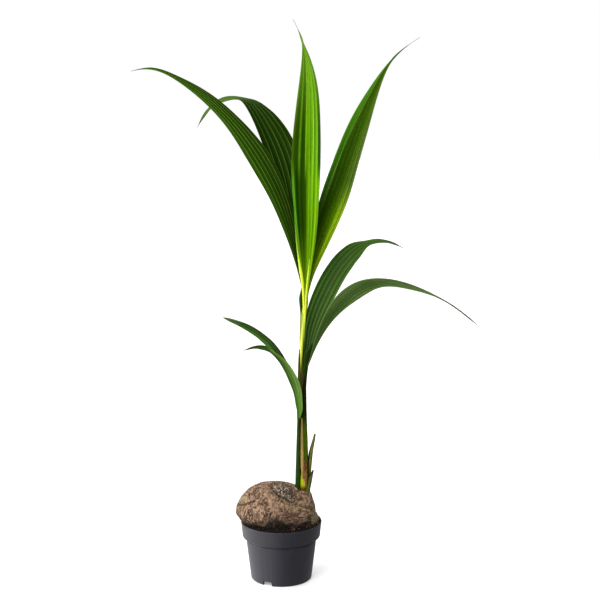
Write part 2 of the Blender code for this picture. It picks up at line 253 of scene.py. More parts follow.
LATTICE = np.random.default_rng(7).random((64, 64, 64))
SOIL_BASE = 122.5                   # height under the lowest crumbs, mm
HEAP, HEAP_WIDTH = 13, 11           # how far soil is heaped against the nut, and how wide
NUT_OVAL = 90, 72                   # half length and half width of the nut where it meets the soil


def grain(points, cell, shift=0.0):
    """Value noise 0 to 1: random lattice values a cell (mm) apart, blended by smooth steps."""
    at = np.asarray(points) / cell + shift + 500.0
    base = np.floor(at).astype(int)
    w = at - base
    w = w * w * (3 - 2 * w)
    total = 0.0
    for corner in range(8):
        bit = np.array([corner & 1, corner >> 1 & 1, corner >> 2 & 1])
        x, y, z = np.moveaxis((base + bit) % len(LATTICE), -1, 0)
        total = total + LATTICE[x, y, z] * np.prod(np.where(bit, w, 1 - w), axis=-1)
    return total


def heap(x, y):
    """Rise of the soil against the nut: a bell curve of the distance outside the nut's oval."""
    outside = (np.hypot((x + 1) / NUT_OVAL[0], y / NUT_OVAL[1]) - 1) * 80
    return HEAP * np.exp(-(np.maximum(outside, 0) / HEAP_WIDTH) ** 2)


def soil_rings(sides=220, steps=46):
    """Rings of a plug inside the pot: up its wall, then in over a top whose height is three
    sizes of value noise on the heap against the nut."""
    turn = np.arange(sides) * 2 * math.pi / sides
    wall = np.array([(2, 2.6), (24, 2.6), (28, 13), (69, 13), (78.0, 93), (78.6, 103.6), (88.6, 108.4),
                     (90.2, 118), (90.6, 124)])
    inner = np.linspace(1, 0.02, steps)[:, None]
    r = np.concatenate([wall[:, 0][:, None] + 0 * turn, 90.4 * inner + 0 * turn])
    z = np.concatenate([wall[:, 1][:, None] + 0 * turn, 0 * inner + 0 * turn])
    flat = np.stack([r * np.cos(turn), r * np.sin(turn), 0 * r], axis=-1)
    rough = grain(flat, 9.0) * 3.6 + grain(flat, 3.0, 9.0) * 2.4 + grain(flat, 1.4, 3.0) * 1.2
    top = SOIL_BASE + rough * np.clip((91 - r) / 3, 0.3, 1) + heap(flat[..., 0], flat[..., 1])
    high = np.arange(len(r)) >= len(wall)
    flat[..., 2] = np.where(high[:, None], top, z)
    return flat * MM


def scatter(count, seed, inner, outer, size):
    """Random crumbs: octahedra with jittered corners, set on the soil between two radii, with
    a half width in mm drawn between the two of size."""
    rng = np.random.default_rng(seed)
    ball = np.array([(1, 0, 0), (-1, 0, 0), (0, 1, 0), (0, -1, 0), (0, 0, 1), (0, 0, -1)], float)
    sides = np.array([(0, 2, 4), (2, 1, 4), (1, 3, 4), (3, 0, 4),
                      (2, 0, 5), (1, 2, 5), (3, 1, 5), (0, 3, 5)])
    r = np.sqrt(rng.uniform(inner ** 2, outer ** 2, count))
    a = rng.uniform(0, 2 * math.pi, count)
    scale = rng.uniform(*size, (count, 1, 1)) * rng.uniform(0.6, 1.3, (count, 1, 3))
    x, y = r * np.cos(a), r * np.sin(a)
    centre = np.stack([x, y, rng.uniform(SOIL_BASE + 2.5, SOIL_BASE + 4.5, count) + heap(x, y)], axis=-1)
    points = centre[:, None] + ball * scale * rng.uniform(0.75, 1.2, (count, 6, 1))
    faces = (sides + 6 * np.arange(count)[:, None, None]).reshape(-1, 3)
    return points.reshape(-1, 3) * MM, faces.tolist()


peat = Finish("damp_peat", roughness=0.92, Specular_IOR_Level=0.2)
spot = peat.place()
crumb = peat.noise(spot, 420.0, 5.0, 0.65)
peat.set(Base_Color=peat.ramp(crumb, (0.3, 7, 5, 4), (0.58, 18, 13, 9), (0.8, 46, 33, 23)))
peat.bump(crumb, 0.0012)
solid("soil_fill", *skin(soil_rings()), peat, "soil", "soil")
bark = Finish("bark_crumbs", roughness=0.85)
flakes = bark.noise(bark.place(), 120.0, 2.0)
bark.set(Base_Color=bark.ramp(flakes, (0.35, 9, 6, 4), (0.58, 24, 15, 9), (0.8, 68, 44, 28)))
solid("bark_crumbs", *scatter(900, seed=3, inner=40, outer=90, size=(0.8, 2.6)), bark, "soil")
perlite = Finish("perlite", roughness=0.8)
chalky = perlite.noise(perlite.place(), 300.0)
perlite.set(Base_Color=perlite.ramp(chalky, (0.3, 196, 190, 180), (0.7, 240, 238, 232)))
solid("perlite_grains", *scatter(30, seed=11, inner=62, outer=90, size=(0.8, 1.7)), perlite, "soil")

# ------------------------------------------------------------------ sprouted nut
# A ripe nut in its whole husk: leathery brown skin worn through to coarse coir that runs
# lengthwise, with pale ridges and a grey mouldy patch where it has lain damp.

NUT_X, NUT_Z = -14.0, 160.0                 # the middle of the nut, mm
NUT_LONG, NUT_WIDE = 95.0, 76.0             # its half length and half width
NUT_ABOVE, NUT_BELOW = 75.0, 48.0           # its half heights above and below the middle
NUT_HEART = np.array([-6.0, 0, 158.0])      # the point that lumps and fibres stand away from


def nut_surface(polar, turn, grow=0.0):
    """Nut lying on its side, mm: an egg from polar angle (0 low, pi high) and bearing, flatter
    below its middle, where each level is also shifted towards +X, with three faint ridges.
    grow lets it out by so many mm."""
    rise = -np.cos(polar)
    upper = rise > 0
    half, power = np.where(upper, NUT_ABOVE, NUT_BELOW), np.where(upper, 2.0, 2.4)
    reach = (1.0 - np.abs(rise) ** power) ** (1.0 / power)
    z = NUT_Z + rise * (half + grow)
    shear = 0.65 * np.maximum(0.0, NUT_Z - z)
    lobe = 1.0 + 0.02 * np.cos(3.0 * turn + 0.6) * reach
    return np.stack([NUT_X + shear + (NUT_LONG + grow) * reach * np.cos(turn) * lobe,
                     (NUT_WIDE + grow) * reach * np.sin(turn) * lobe, z], axis=-1)


def husk_points(levels=250, around=330):
    """The nut's egg, pushed out along its own radius by two sizes of lumps and by coir folds
    (the crests of stretched noise), which run level low on the right and upright elsewhere,
    with a blunt ridge up its front and a swelling round the sprout, and in by a crease on its
    -X end.  Returns the rings, and at each point the small relief, 0 in a furrow to 1 on a
    crest, and how level its coir lies, 0 to 1."""
    polar = np.linspace(0.012, math.pi - 0.012, levels)[:, None] + np.zeros(around)
    turn = np.arange(around) * 2 * math.pi / around + np.zeros((levels, 1))
    body = nut_surface(polar, turn)
    x, y, z = np.moveaxis(body, -1, 0)
    out = body - NUT_HEART
    out /= np.linalg.norm(out, axis=-1, keepdims=True)
    bend = np.stack([grain(body, 26.0, 3.0), grain(body, 30.0, 5.0), grain(body, 24.0, 7.0)], axis=-1)
    bent = body + 14 * bend
    lumps = (grain(body, 36.0) - 0.5) * 3.6 + (grain(body, 15.0, 4.0) - 0.5) * 3.6
    level = np.clip((x + 20) / 40, 0, 1) * np.clip((206 - z) / 24, 0, 1)
    folds = sum(weight * (1 - np.abs(grain(bent * way, 6.5, 11.0) * 2 - 1) * 2.6)
                for weight, way in ((level, [0.33, 1, 1]), (1 - level, [1, 1, 0.4])))
    knots = sum(weight * ((grain(bent * way, 3.4, 5.0) - 0.5) * 2.2
                          + (grain(bent * way, 1.7, 8.0) - 0.5) * 2.2)
                for weight, way in ((level, [0.3, 1, 1]), (1 - level, [1, 1, 0.4])))
    front = np.clip(-y / 20, 0, 1)
    crease = np.exp(-((z - 184 - 0.55 * (x + 101)) / 1.5) ** 2)
    crease = crease * np.clip((-62 - x) / 12, 0, 1) * np.clip((20 - y) / 20, 0, 1)
    ridge = np.exp(-((x + 26 - 0.5 * (215 - z)) / 8.0) ** 2)
    ridge = ridge * np.clip((232 - z) / 20, 0, 1) * np.clip((z - 172) / 20, 0, 1) * front
    swell = np.exp(-((x - 56) / 17) ** 2 - ((y + 14) / 25) ** 2) * (z > 150)
    small = folds * 0.45 + knots - 3.0 * crease
    moved = body + out * (lumps * 0.7 - 1.9 + 0.55 * small + 2.0 * ridge + 12.5 * swell)[..., None]
    return moved * MM, np.clip(0.5 + small * 0.3, 0, 1), level


husk = Finish("weathered_husk", roughness=0.88, Specular_IOR_Level=0.2)
spot = husk.place()
relief = husk.node("ShaderNodeAttribute", {"attribute_name": "relief"}, output=2)
level = husk.node("ShaderNodeAttribute", {"attribute_name": "level"}, output=2)
lying = husk.noise(spot, 330.0, 6.0, 0.7, stretch=(0.3, 1.0, 1.0))
upright = husk.noise(spot, 330.0, 6.0, 0.7, stretch=(1.0, 1.0, 0.36))
fibre = lying * level + upright * (1 - level)
blotch = husk.noise(spot, 34.0, 5.0, 0.62)
pit = husk.noise(spot, 380.0, 4.0, 0.75)
speck = husk.noise(spot, 480.0, 3.0, 0.6)
wide, deep, high = (husk.coordinate(number) for number in (0, 1, 2))
skin_tone = husk.ramp(
    blotch, (0.34, 54, 37, 31), (0.43, 88, 65, 54), (0.49, 134, 104, 84), (0.55, 98, 73, 58),
    (0.61, 116, 96, 64), (0.7, 70, 52, 38))
# Painted shade and light: the fibre's tone, made darker in the furrows and paler on the crests of the
# relief.
fibre_tone_furrow_shade = husk.ramp(
    relief * 0.8 + fibre - 0.4, (0.28, 18, 12, 8), (0.42, 74, 53, 40), (0.55, 122, 95, 74),
    (0.7, 190, 160, 130))
base = husk.mix(0.58, skin_tone, fibre_tone_furrow_shade)
# Dark pits and pale scuffs.
base = husk.mix(((0.43 - pit) * 14.0).clamp() * 0.85, base, srgb(22, 13, 9))
base = husk.mix(((pit - 0.58) * 12.0).clamp() * 0.6, base, srgb(196, 172, 146))
# Bare pale coir on the ridge up the front, and on the lip over the crease.
ridge = (((wide + 0.026 - (0.215 - high) * 0.5) * 90.0) ** 2.0 + ((high - 0.2) * 45.0) ** 2.0)
base = husk.mix((1 - ridge.step(0.3, 1.5)) * (1 - deep.step(-0.03, 0.0)) * 0.4, base, srgb(166, 134, 110))
lip = (((high - 0.191 - (wide + 0.101) * 0.55) * 230.0) ** 2.0 + ((wide + 0.088) * 75.0) ** 2.0)
base = husk.mix((1 - lip.step(0.4, 1.4)) * (1 - deep.step(-0.01, 0.01)) * 0.45, base, srgb(158, 144, 110))
# The mouldy patch: a slanted oval on the upper front, with a dark rim.
run = ((wide - 0.004) * 0.86 - (high - 0.221) * 0.51) * 26.0
rise = ((wide - 0.004) * 0.51 + (high - 0.221) * 0.86) * 84.0
patch = run * run + rise * rise + (blotch - 0.5) * 3.0 + (pit - 0.5) * 2.4
facing = 1 - deep.step(-0.012, 0.004)
mould = (1 - patch.step(0.75, 1.05)) * facing
# The mould's specks are a little darker in the furrows too: painted shade from the relief.
mould_tone = husk.ramp(
    speck * 0.6 + pit * 0.4 + (relief - 0.5) * 0.2, (0.42, 20, 16, 13), (0.49, 62, 50, 40),
    (0.55, 122, 108, 92), (0.64, 220, 208, 190))
rim_of_patch = patch.step(0.45, 0.9) * (1 - patch.step(1.0, 1.5)) * facing
shaded = husk.mix(rim_of_patch * 0.55, husk.mix(mould * 0.85, base, mould_tone), srgb(36, 26, 20))
# Painted shade: the foot is darkened up to a ragged line that rises at the front middle, but a lobe low on
# the right is mostly spared it and painted pale greenish grey.
front_shade_rise = (1 - (((wide + 0.014) * 40.0) ** 2.0).clamp()) * (1 - deep.step(-0.03, 0.0))
underside_shade_line = high + (blotch - 0.5) * 0.03 + (pit - 0.5) * 0.02 - front_shade_rise * 0.011
lobe = wide.step(0.066, 0.074) * high.step(0.140, 0.148) * (1 - high.step(0.172, 0.18))
shaded = husk.mix(lobe * 0.65, shaded, srgb(128, 124, 94))
husk.set(Base_Color=husk.mix((1 - underside_shade_line.step(0.146, 0.17)) * (0.93 - lobe * 0.85), shaded, srgb(16, 11, 8)))
husk.bump(fibre * 0.5 + pit * 0.4 + speck * 0.2, 0.0022)
rings, relief, level = husk_points()
nut = solid("coconut_husk", *skin(rings), husk, "husk", "coconut")
for name, values in (("relief", relief), ("level", level)):
    nut.data.attributes.new(name, "FLOAT", "POINT").data.foreach_set(
        "value", np.concatenate([values.ravel(), [0.5, 0.5]]).astype(np.float32))


def fine_tubes(path, thick, lean):
    """Three-sided tubes along (count, steps, 3) paths, thick mm in radius at each step; a
    ring's corners lie level, or rise with their Y by lean.  Returns points and faces."""
    count, steps = path.shape[:2]
    corner = np.array([0, 2, 4]) * math.pi / 3
    ring = np.stack([np.cos(corner), np.sin(corner), lean * np.sin(corner)], axis=-1)
    points = path[:, :, None] + thick[..., None] * ring
    i, j = np.meshgrid(np.arange(steps - 1), np.arange(3), indexing="ij")
    k = (j + 1) % 3
    quads = np.stack([i * 3 + j, i * 3 + k, i * 3 + 3 + k, i * 3 + 3 + j], axis=-1).reshape(-1, 4)
    ends = np.array([(2, 1, 0), (0, 1, 2)]) + [[0], [(steps - 1) * 3]]
    first = np.arange(count)[:, None, None] * steps * 3
    faces = (quads[None] + first).reshape(-1, 4).tolist() + (ends[None] + first).reshape(-1, 3).tolist()
    return points.reshape(-1, 3) * MM, faces


def hairs(roots, heading, seed, bend, width, steps=5):
    """Loose fibres: from each root a quadratic curve leaves along its heading and bends by a
    random vector of up to bend mm; each is a fine tube that tapers to its end."""
    rng = np.random.default_rng(seed)
    count = len(roots)
    s = np.linspace(0, 1, steps)[:, None]
    path = roots[:, None] + heading[:, None] * s + rng.uniform(-bend, bend, (count, 1, 3)) * s ** 2
    return fine_tubes(path, width * (1.1 - s) * rng.uniform(0.6, 1.3, (count, 1, 1)), 0.5)


STRANDS, ROOTLETS, FRONT_ROOTLETS = 700, 90, 20
rng = np.random.default_rng(21)
polar, turn = rng.uniform(1.25, 2.9, STRANDS), rng.uniform(0, 2 * math.pi, STRANDS)
foot = nut_surface(polar, turn, -1.0)
away = foot - NUT_HEART
away /= np.linalg.norm(away, axis=1)[:, None]
lie = np.stack([rng.choice([-1, 1], STRANDS) * 1.0, *rng.normal(0, 0.4, (2, STRANDS))], axis=1)
coir = Finish("loose_coir", roughness=0.9, Specular_IOR_Level=0.1)
coir.set(
    Base_Color=coir.ramp(coir.noise(coir.place(), 90.0, 2.0), (0.35, 70, 50, 38), (0.65, 168, 138, 110)))
heading = away * 1.6 + lie * rng.uniform(2, 7, (STRANDS, 1))
solid("loose_coir", *hairs(foot, heading, seed=5, bend=1.2, width=0.28), coir, "husk")
polar, turn = rng.uniform(1.05, 1.3, ROOTLETS), rng.uniform(0, 2 * math.pi, ROOTLETS)
foot = nut_surface(polar, turn, 0.5)
away = (foot - np.array([0, 0, 150.0])) * [1, 1, 0]
away /= np.linalg.norm(away, axis=1)[:, None]
away[:FRONT_ROOTLETS] = [0, -1, 0]
foot[:FRONT_ROOTLETS] = nut_surface(
    rng.uniform(1.1, 1.3, FRONT_ROOTLETS), rng.uniform(4.95, 5.15, FRONT_ROOTLETS), 0.5)
roots = Finish("young_rootlets", roughness=0.8, Specular_IOR_Level=0.2)
earthy = roots.noise(roots.place(), 200.0, 2.0)
roots.set(Base_Color=roots.ramp(earthy, (0.35, 70, 44, 26), (0.65, 170, 128, 84)))
heading = away * rng.uniform(2, 9, (ROOTLETS, 1)) + np.array([0, 0, -1]) * rng.uniform(6, 16, (ROOTLETS, 1))
solid("rootlets", *hairs(foot, heading, seed=8, bend=4.0, width=0.5, steps=7), roots, "husk")

# ------------------------------------------------------------------ stem and old sheaths
# The false trunk of a young palm: two leathery leaf sheaths and a short inner one clasp a green
# core, with a dry straw strip and torn brown fibre where older leaves have gone, and the
# sprout's swollen yellow base at the front of its foot.

# Height, x and y of the stem's axis, mm.
AXIS = np.array([(195, 50, -8), (396, 48.6, -5), (490, 48.6, 0), (573, 48.1, 0), (664, 57, 0)], float)


def axis_at(z):
    """The axis at heights z, by straight steps."""
    return np.stack([np.interp(z, AXIS[:, 0], AXIS[:, 1]), np.interp(z, AXIS[:, 0], AXIS[:, 2])], axis=-1)


def eased(keys, at, reach=7):
    """Straight steps between keyed columns, softened by a running mean over 2 reach + 1 rows."""
    keys = np.asarray(keys, float)
    rows = np.stack([np.interp(at, keys[:, 0], column) for column in keys.T[1:]], axis=1)
    held = np.pad(rows, ((reach, reach), (0, 0)), mode="edge")
    window = np.ones(2 * reach + 1) / (2 * reach + 1)
    return np.stack([np.convolve(column, window, mode="valid") for column in held.T], axis=1)


def sheath(start, end, keys, rows=170, steps=44, ribs=15, rib=0.22, torn=0.0):
    """Sheath round the stem axis, between two bearings: an outer arc and an inner one, both
    following keyed radii and share of arc up the stem.  Fine ribs stand on the outside, the
    wall thins to its two margins, and torn shortens each column's top by noise.
    Returns rings in metres and a UV of share across and height in metres."""
    z = np.linspace(keys[0][0], keys[-1][0], rows)
    inner, outer, share = eased(keys, z).T
    w = np.linspace(-1, 1, steps)
    turn = np.radians((start + end) / 2 + (end - start) / 2 * share[:, None] * w)
    wall = (outer - inner)[:, None] * np.sqrt(np.clip(1 - w ** 6, 0.02, 1))
    raised = rib * np.cos(w * math.pi * ribs) * (1 - w ** 8) + 0.18 * (grain(
        np.stack([turn * 40, z[:, None] * 0.05 + 0 * turn, 0 * turn], axis=-1), 1.0) - 0.5)
    drop = torn * grain(np.stack([w * 9, 0 * w, 0 * w], axis=-1), 1.0, 5.0) ** 2 * (z[-1] - z[0])
    up = z[:, None] - drop * ((z - z[0]) / (z[-1] - z[0]))[:, None]
    centre = axis_at(up)
    halves = []
    for radius in (inner[:, None] + wall + raised, inner[:, None] + 0 * wall):
        halves.append(np.stack([centre[..., 0] + radius * np.cos(turn),
                                centre[..., 1] + radius * np.sin(turn), up], axis=-1))
    rings = np.concatenate([halves[0], halves[1][:, ::-1]], axis=1) * MM
    across = np.broadcast_to(np.concatenate([w, w[::-1]]) * 0.5 + 0.5, rings.shape[:2])
    uv = np.stack([across, rings[..., 2]], axis=-1).reshape(-1, 2)
    return rings, np.concatenate([uv, uv[:1], uv[-1:]])


def spindle(keys, rows=90, around=36, ribs=9, rib=0.0):
    """Tapered rod through keyed (height, x, y, half width x, half width y), with ribs raised
    as a cosine round it.  Returns rings in metres and a UV of share round and height."""
    z = np.linspace(keys[0][0], keys[-1][0], rows)
    x, y, a, b = (column[:, None] for column in eased(keys, z, 3).T)
    turn = np.arange(around) * 2 * math.pi / around
    swell = 1 + rib * np.cos(ribs * turn)
    rings = np.stack([x + a * swell * np.cos(turn), y + b * swell * np.sin(turn),
                      z[:, None] + 0 * turn], axis=-1) * MM
    share = np.broadcast_to(turn / (2 * math.pi), rings.shape[:2])
    uv = np.stack([share, rings[..., 2]], axis=-1).reshape(-1, 2)
    return rings, np.concatenate([uv, uv[:1], uv[-1:]])


def sheath_finish(name, stops, streaks=0.35, dry=0.0, roughness=0.5, above=None, below=None):
    """Green skin whose colour runs through stops across the piece; narrow streaks run up it,
    and dry, 0 to 1, adds brown scurf in flecks.  Painted shade darkens it going up between
    the two heights above, and it turns to brown fibre going down between the two heights below."""
    skin_of = Finish(name, roughness=roughness, Specular_IOR_Level=0.07, Specular_Tint=(0.6, 0.9, 0.3, 1))
    across = skin_of.coordinate(0, "UV")
    lines = skin_of.streaks(46.0, 26.0)
    fine = skin_of.streaks(150.0, 60.0, 3.0)
    fleck = skin_of.noise(skin_of.place(), 260.0, 4.0, 0.7, stretch=(1.0, 1.0, 0.35))
    green = skin_of.ramp(across + (fine - 0.5) * 0.06, *stops)
    darker = skin_of.mix(((lines - 0.42) * 3.0).clamp() * streaks, green, srgb(18, 26, 6))
    lighter = skin_of.mix(((0.44 - fine) * 3.2).clamp() * streaks, darker, srgb(190, 200, 120))
    up = skin_of.coordinate(2)
    # Painted shade going up between the two heights above.
    if above is not None:
        lighter = skin_of.mix(up.step(*above) * 0.85, lighter, srgb(8, 16, 2))
    if below is not None:
        lighter = skin_of.mix(1 - up.step(*below), lighter, srgb(84, 62, 16))
    skin_of.set(Base_Color=skin_of.mix(((fleck - 0.55) * 5.0).clamp() * dry, lighter, srgb(96, 62, 34)),
                Roughness=lines * 0.2 + (roughness - 0.1))
    skin_of.bump(fine * 0.6 + lines * 0.4, 0.0005, 0.7)
    return skin_of


def limb(name, made, finish, slot, *nodes):
    """A piece of the plant itself, from the rings and UV that its shape's function returns."""
    rings, uv = made
    return solid(name, *skin(rings), finish, slot, *nodes, uv=uv)


core = sheath_finish("stem_core_green", [(0.0, 90, 100, 30), (0.5, 60, 70, 16), (1.0, 30, 38, 8)])
outer_green = sheath_finish(
    "outer_sheath_green",
    [(0.0, 20, 38, 2), (0.45, 16, 36, 2), (0.56, 28, 54, 8), (0.68, 20, 50, 2), (0.86, 14, 40, 0),
     (0.93, 26, 34, 0), (1.0, 36, 24, 4)],
    streaks=0.2, dry=0.1)
# The middle sheath is painted into shade going up from 362 to 398 mm.
inner_green = sheath_finish(
    "inner_sheath_green",
    [(0.0, 44, 36, 6), (0.1, 80, 78, 2), (0.2, 66, 92, 0), (0.31, 76, 112, 12), (0.38, 30, 60, 0),
     (0.6, 16, 36, 0), (1.0, 30, 54, 8)],
    streaks=0.25, dry=0.2, above=(0.362, 0.398))
shape = spindle(
    [(196, 50, -8, 10.5, 10.5), (300, 49.3, -6.4, 8.5, 8.5), (396, 48.6, -5, 6.8, 6.8),
     (450, 48.6, -2.1, 6.4, 6.4), (508, 48.6, 0, 6.2, 6.2)],
    rib=0.02)
limb("stem_core", shape, core, "stem", "stem_core")
shape = sheath(
    start=92, end=262,
    keys=[(196, 11.0, 18.2, 1), (230, 10.4, 17.0, 1), (300, 9.0, 14.6, 1), (360, 7.9, 12.2, 0.9),
          (397, 7.3, 10.8, 0.7)])
limb("low_leaf_sheath", shape, outer_green, "sheath", "low_leaf_sheath")
shape = sheath(
    start=-90, end=84,
    keys=[(196, 11.0, 15.4, 1), (300, 9.0, 13.8, 1), (350, 8.0, 12.6, 1), (396, 7.3, 11.2, 1),
          (450, 6.9, 10.2, 0.9), (512, 6.7, 9.4, 0.55)])
limb("mid_leaf_sheath", shape, inner_green, "dark_sheath", "mid_leaf_sheath")
upper_dark = sheath_finish(
    "upper_sheath_green",
    [(0.0, 22, 34, 8), (0.34, 84, 94, 66), (0.5, 36, 42, 12), (0.7, 48, 54, 12), (0.86, 78, 82, 30),
     (1.0, 40, 42, 8)],
    streaks=0.2, dry=0.3)
shape = sheath(
    start=125, end=279,
    keys=[(446, 6.9, 8.8, 1), (460, 6.8, 9.9, 0.95), (474, 6.8, 9.8, 0.72), (500, 6.7, 9.4, 0.5),
          (530, 6.2, 8.2, 0.34), (553, 5.7, 6.6, 0.15)])
limb("inner_sheath", shape, upper_dark, "dark_sheath", "inner_sheath")
shape = spindle(
    [(388, 40.2, -4.0, 3.2, 4.0), (415, 39.8, -5.0, 3.3, 4.4), (432, 39.6, -6.6, 3.1, 3.4),
     (448, 37.4, -7.4, 2.0, 1.8)],
    rows=40, around=20)
limb("low_leaf_rachis", shape, outer_green, "sheath", "low_leaf_rachis")

straw = Finish("dry_straw", roughness=0.75, Specular_IOR_Level=0.3)
grainy = straw.streaks(16.0, 50.0)
split = straw.coordinate(0, "UV")
high = straw.coordinate(2)
dead = straw.ramp(grainy, (0.3, 104, 78, 32), (0.5, 166, 138, 70), (0.7, 206, 178, 108))
dead = straw.mix(high.step(0.305, 0.335) * 0.55, dead, srgb(112, 108, 50))
straw.set(Base_Color=straw.mix((1 - split.step(0.06, 0.2)) * 0.85, dead, srgb(72, 50, 10)))
straw.bump(grainy, 0.0006)
shape = sheath(
    start=252, end=285,
    keys=[(250, 15.6, 17.0, 0.3), (262, 15.3, 16.9, 0.45), (278, 14.9, 16.4, 0.8), (300, 14.3, 15.7, 0.85),
          (350, 13.0, 14.3, 0.8), (393, 11.7, 12.9, 0.4)],
    steps=20, ribs=4)
limb("dry_strip", shape, straw, "straw", "dry_strip")

torn = Finish("torn_fibre", roughness=0.9, Specular_IOR_Level=0.15)
grainy = torn.streaks(20.0, 90.0, 5.0, 0.65)
across = torn.coordinate(0, "UV")
rusty = torn.ramp(grainy, (0.36, 56, 30, 10), (0.5, 130, 90, 42), (0.64, 186, 146, 92))
dark = torn.ramp(grainy, (0.35, 16, 6, 4), (0.55, 58, 28, 18), (0.75, 104, 66, 44))
torn.set(Base_Color=torn.mix(across.step(0.5, 0.72), rusty, dark))
torn.bump(grainy, 0.0012)
shape = sheath(
    start=268, end=338,
    keys=[(226, 17.0, 18.0, 0.12), (236, 16.2, 18.6, 0.34), (252, 15.4, 18.2, 0.62), (272, 14.6, 16.8, 1),
          (284, 13.9, 15.8, 0.8), (295, 13.4, 14.6, 0.4)],
    steps=36, ribs=8, rib=0.4, torn=0.3)
limb("fibre_sheath", shape, torn, "fibre", "fibre_sheath")
sprout = sheath_finish(
    "sprout_base_yellow",
    [(0.0, 150, 140, 30), (0.5, 60, 96, 4), (0.62, 120, 140, 4), (0.75, 182, 188, 16), (0.85, 196, 190, 40),
     (1.0, 150, 130, 40)],
    streaks=0.25, below=(0.223, 0.237))
shape = spindle(
    [(206, 52, -18.5, 5.0, 3.0), (222, 51.5, -20, 6.0, 4.2), (232, 51, -20, 6.6, 4.6),
     (241, 50.2, -19.4, 6.2, 4.2), (250, 48.4, -18.4, 4.0, 3.0), (266, 46.4, -17.0, 2.3, 2.0),
     (286, 45.6, -15.8, 1.1, 1.1)],
    rows=80, rib=0.04)
limb("sprout_base", shape, sprout, "stalk")


def filaments(count, seed, low, high, bearings, reach, length, width=0.35, steps=7):
    """Loose fibres: each starts on the stem at a random height and bearing, follows a drooping
    quadratic curve, and is a fine tube that tapers to its end."""
    rng = np.random.default_rng(seed)
    z = rng.uniform(low, high, count)[:, None]
    turn = np.radians(rng.uniform(*bearings, count))[:, None]
    out, rise = rng.uniform(*reach, (count, 1)), rng.uniform(*length, (count, 1))
    lean = turn + rng.uniform(-0.5, 0.5, (count, 1))
    s = np.linspace(0, 1, steps)
    foot = axis_at(z[:, 0])
    radius = 15.5 - (z - 200) * 0.02        # the sheaths' outside, which narrows with height
    x = foot[:, :1] + radius * np.cos(turn) + out * s ** 2 * np.cos(lean)
    y = foot[:, 1:] + radius * np.sin(turn) + out * s ** 2 * np.sin(lean)
    path = np.stack([x, y, z + rise * s - 0.25 * np.abs(rise) * s ** 2], axis=-1)
    thick = width * (1.05 - s)[:, None] * rng.uniform(0.5, 1.2, (count, 1, 1))
    return fine_tubes(path, thick, 0.0)


strands = filaments(150, seed=5, low=200, high=292, bearings=(262, 345), reach=(0.3, 4.0), length=(-16, 14))
solid("torn_filaments", *strands, torn, "fibre")

# ------------------------------------------------------------------ dead scale leaves
# Two short pointed scale leaves right of the stem, the first leaves after sprouting: the tall
# one drying olive and brown round a dark hollow that is painted shade on its side towards the
# stem, the short one green at its foot, both withered at the tip.

scale = Finish("drying_scale", roughness=0.65, Specular_IOR_Level=0.3)
grainy = scale.streaks(24.0, 40.0)
blotch = scale.noise(scale.place(), 90.0, 3.0, 0.6)
high = scale.coordinate(2)
olive = scale.ramp(grainy, (0.32, 54, 60, 8), (0.5, 94, 104, 16), (0.68, 146, 150, 70))
brown = scale.mix(((blotch - 0.45) * 4.0).clamp() * 0.7, olive, srgb(92, 54, 34))
around = scale.coordinate(0, "UV")
# Painted shade: a near-black band on the side towards the stem, from 274 to 330 mm, for the dark hollow;
# the solid itself has no hollow.
hollow = (1 - (around - 0.5).math("ABSOLUTE").step(0.17, 0.22)) * high.step(0.274, 0.284)
brown = scale.mix(hollow * (1 - high.step(0.316, 0.33)) * 0.95, brown, srgb(6, 6, 2))
scale.set(Base_Color=scale.mix(high.step(0.342, 0.352), brown, srgb(60, 58, 26)))
scale.bump(grainy, 0.0008)
shape = spindle(
    [(198, 64.6, -3, 3.4, 8.0), (236, 65.0, -4, 3.6, 7.0), (262, 66.0, -5, 4.0, 6.0),
     (288, 67.2, -5, 5.0, 5.2), (306, 69.0, -5, 4.9, 4.4), (322, 72.2, -5, 4.0, 3.4),
     (340, 76.4, -5.5, 3.0, 2.4), (352, 78.8, -6, 1.9, 1.6)],
    around=48, rib=0.05)
limb("tall_scale", shape, scale, "sheath", "tall_scale")
scurf = Finish("short_scale_green", roughness=0.6, Specular_IOR_Level=0.3)
grainy = scurf.streaks(24.0, 50.0)
high = scurf.coordinate(2)
green = scurf.ramp(grainy, (0.34, 28, 34, 2), (0.5, 62, 74, 8), (0.7, 122, 120, 50))
scurf.set(Base_Color=scurf.mix(high.step(0.25, 0.262), green, srgb(26, 18, 12)))
scurf.bump(grainy, 0.0008)
shape = spindle(
    [(192, 58.0, -20, 5.0, 4.4), (212, 60.0, -20, 5.6, 4.4), (234, 65.0, -18.5, 5.2, 3.8),
     (252, 69.8, -16.5, 3.8, 2.8), (260, 72.2, -15.5, 2.8, 2.0), (267, 74.6, -15, 1.8, 1.4)],
    rows=80, rib=0.06)
limb("short_scale", shape, scurf, "dark_sheath", "short_scale")

# ------------------------------------------------------------------ stalks
# The youngest leaf's stalk, fresh yellow-green with a painted highlight down its front and
# painted shade on its right side, and the darker stalk of the leaf behind it rise out of the
# sheaths and carry the four top lobes.  A collar wraps the foot of the middle leaf, and two
# pale ribs run on up the left and right lobes.

fresh = Finish("fresh_stalk", roughness=0.45, Specular_IOR_Level=0.12, Specular_Tint=(0.8, 0.9, 0.4, 1))
split = fresh.coordinate(0)
lines = fresh.noise(fresh.place(), 1.0, 4.0, 0.55, stretch=(900.0, 900.0, 14.0))
along = fresh.coordinate(2)
middle = (along - 0.573) * 0.1 + 0.0481
side = (split - middle) * 130.0
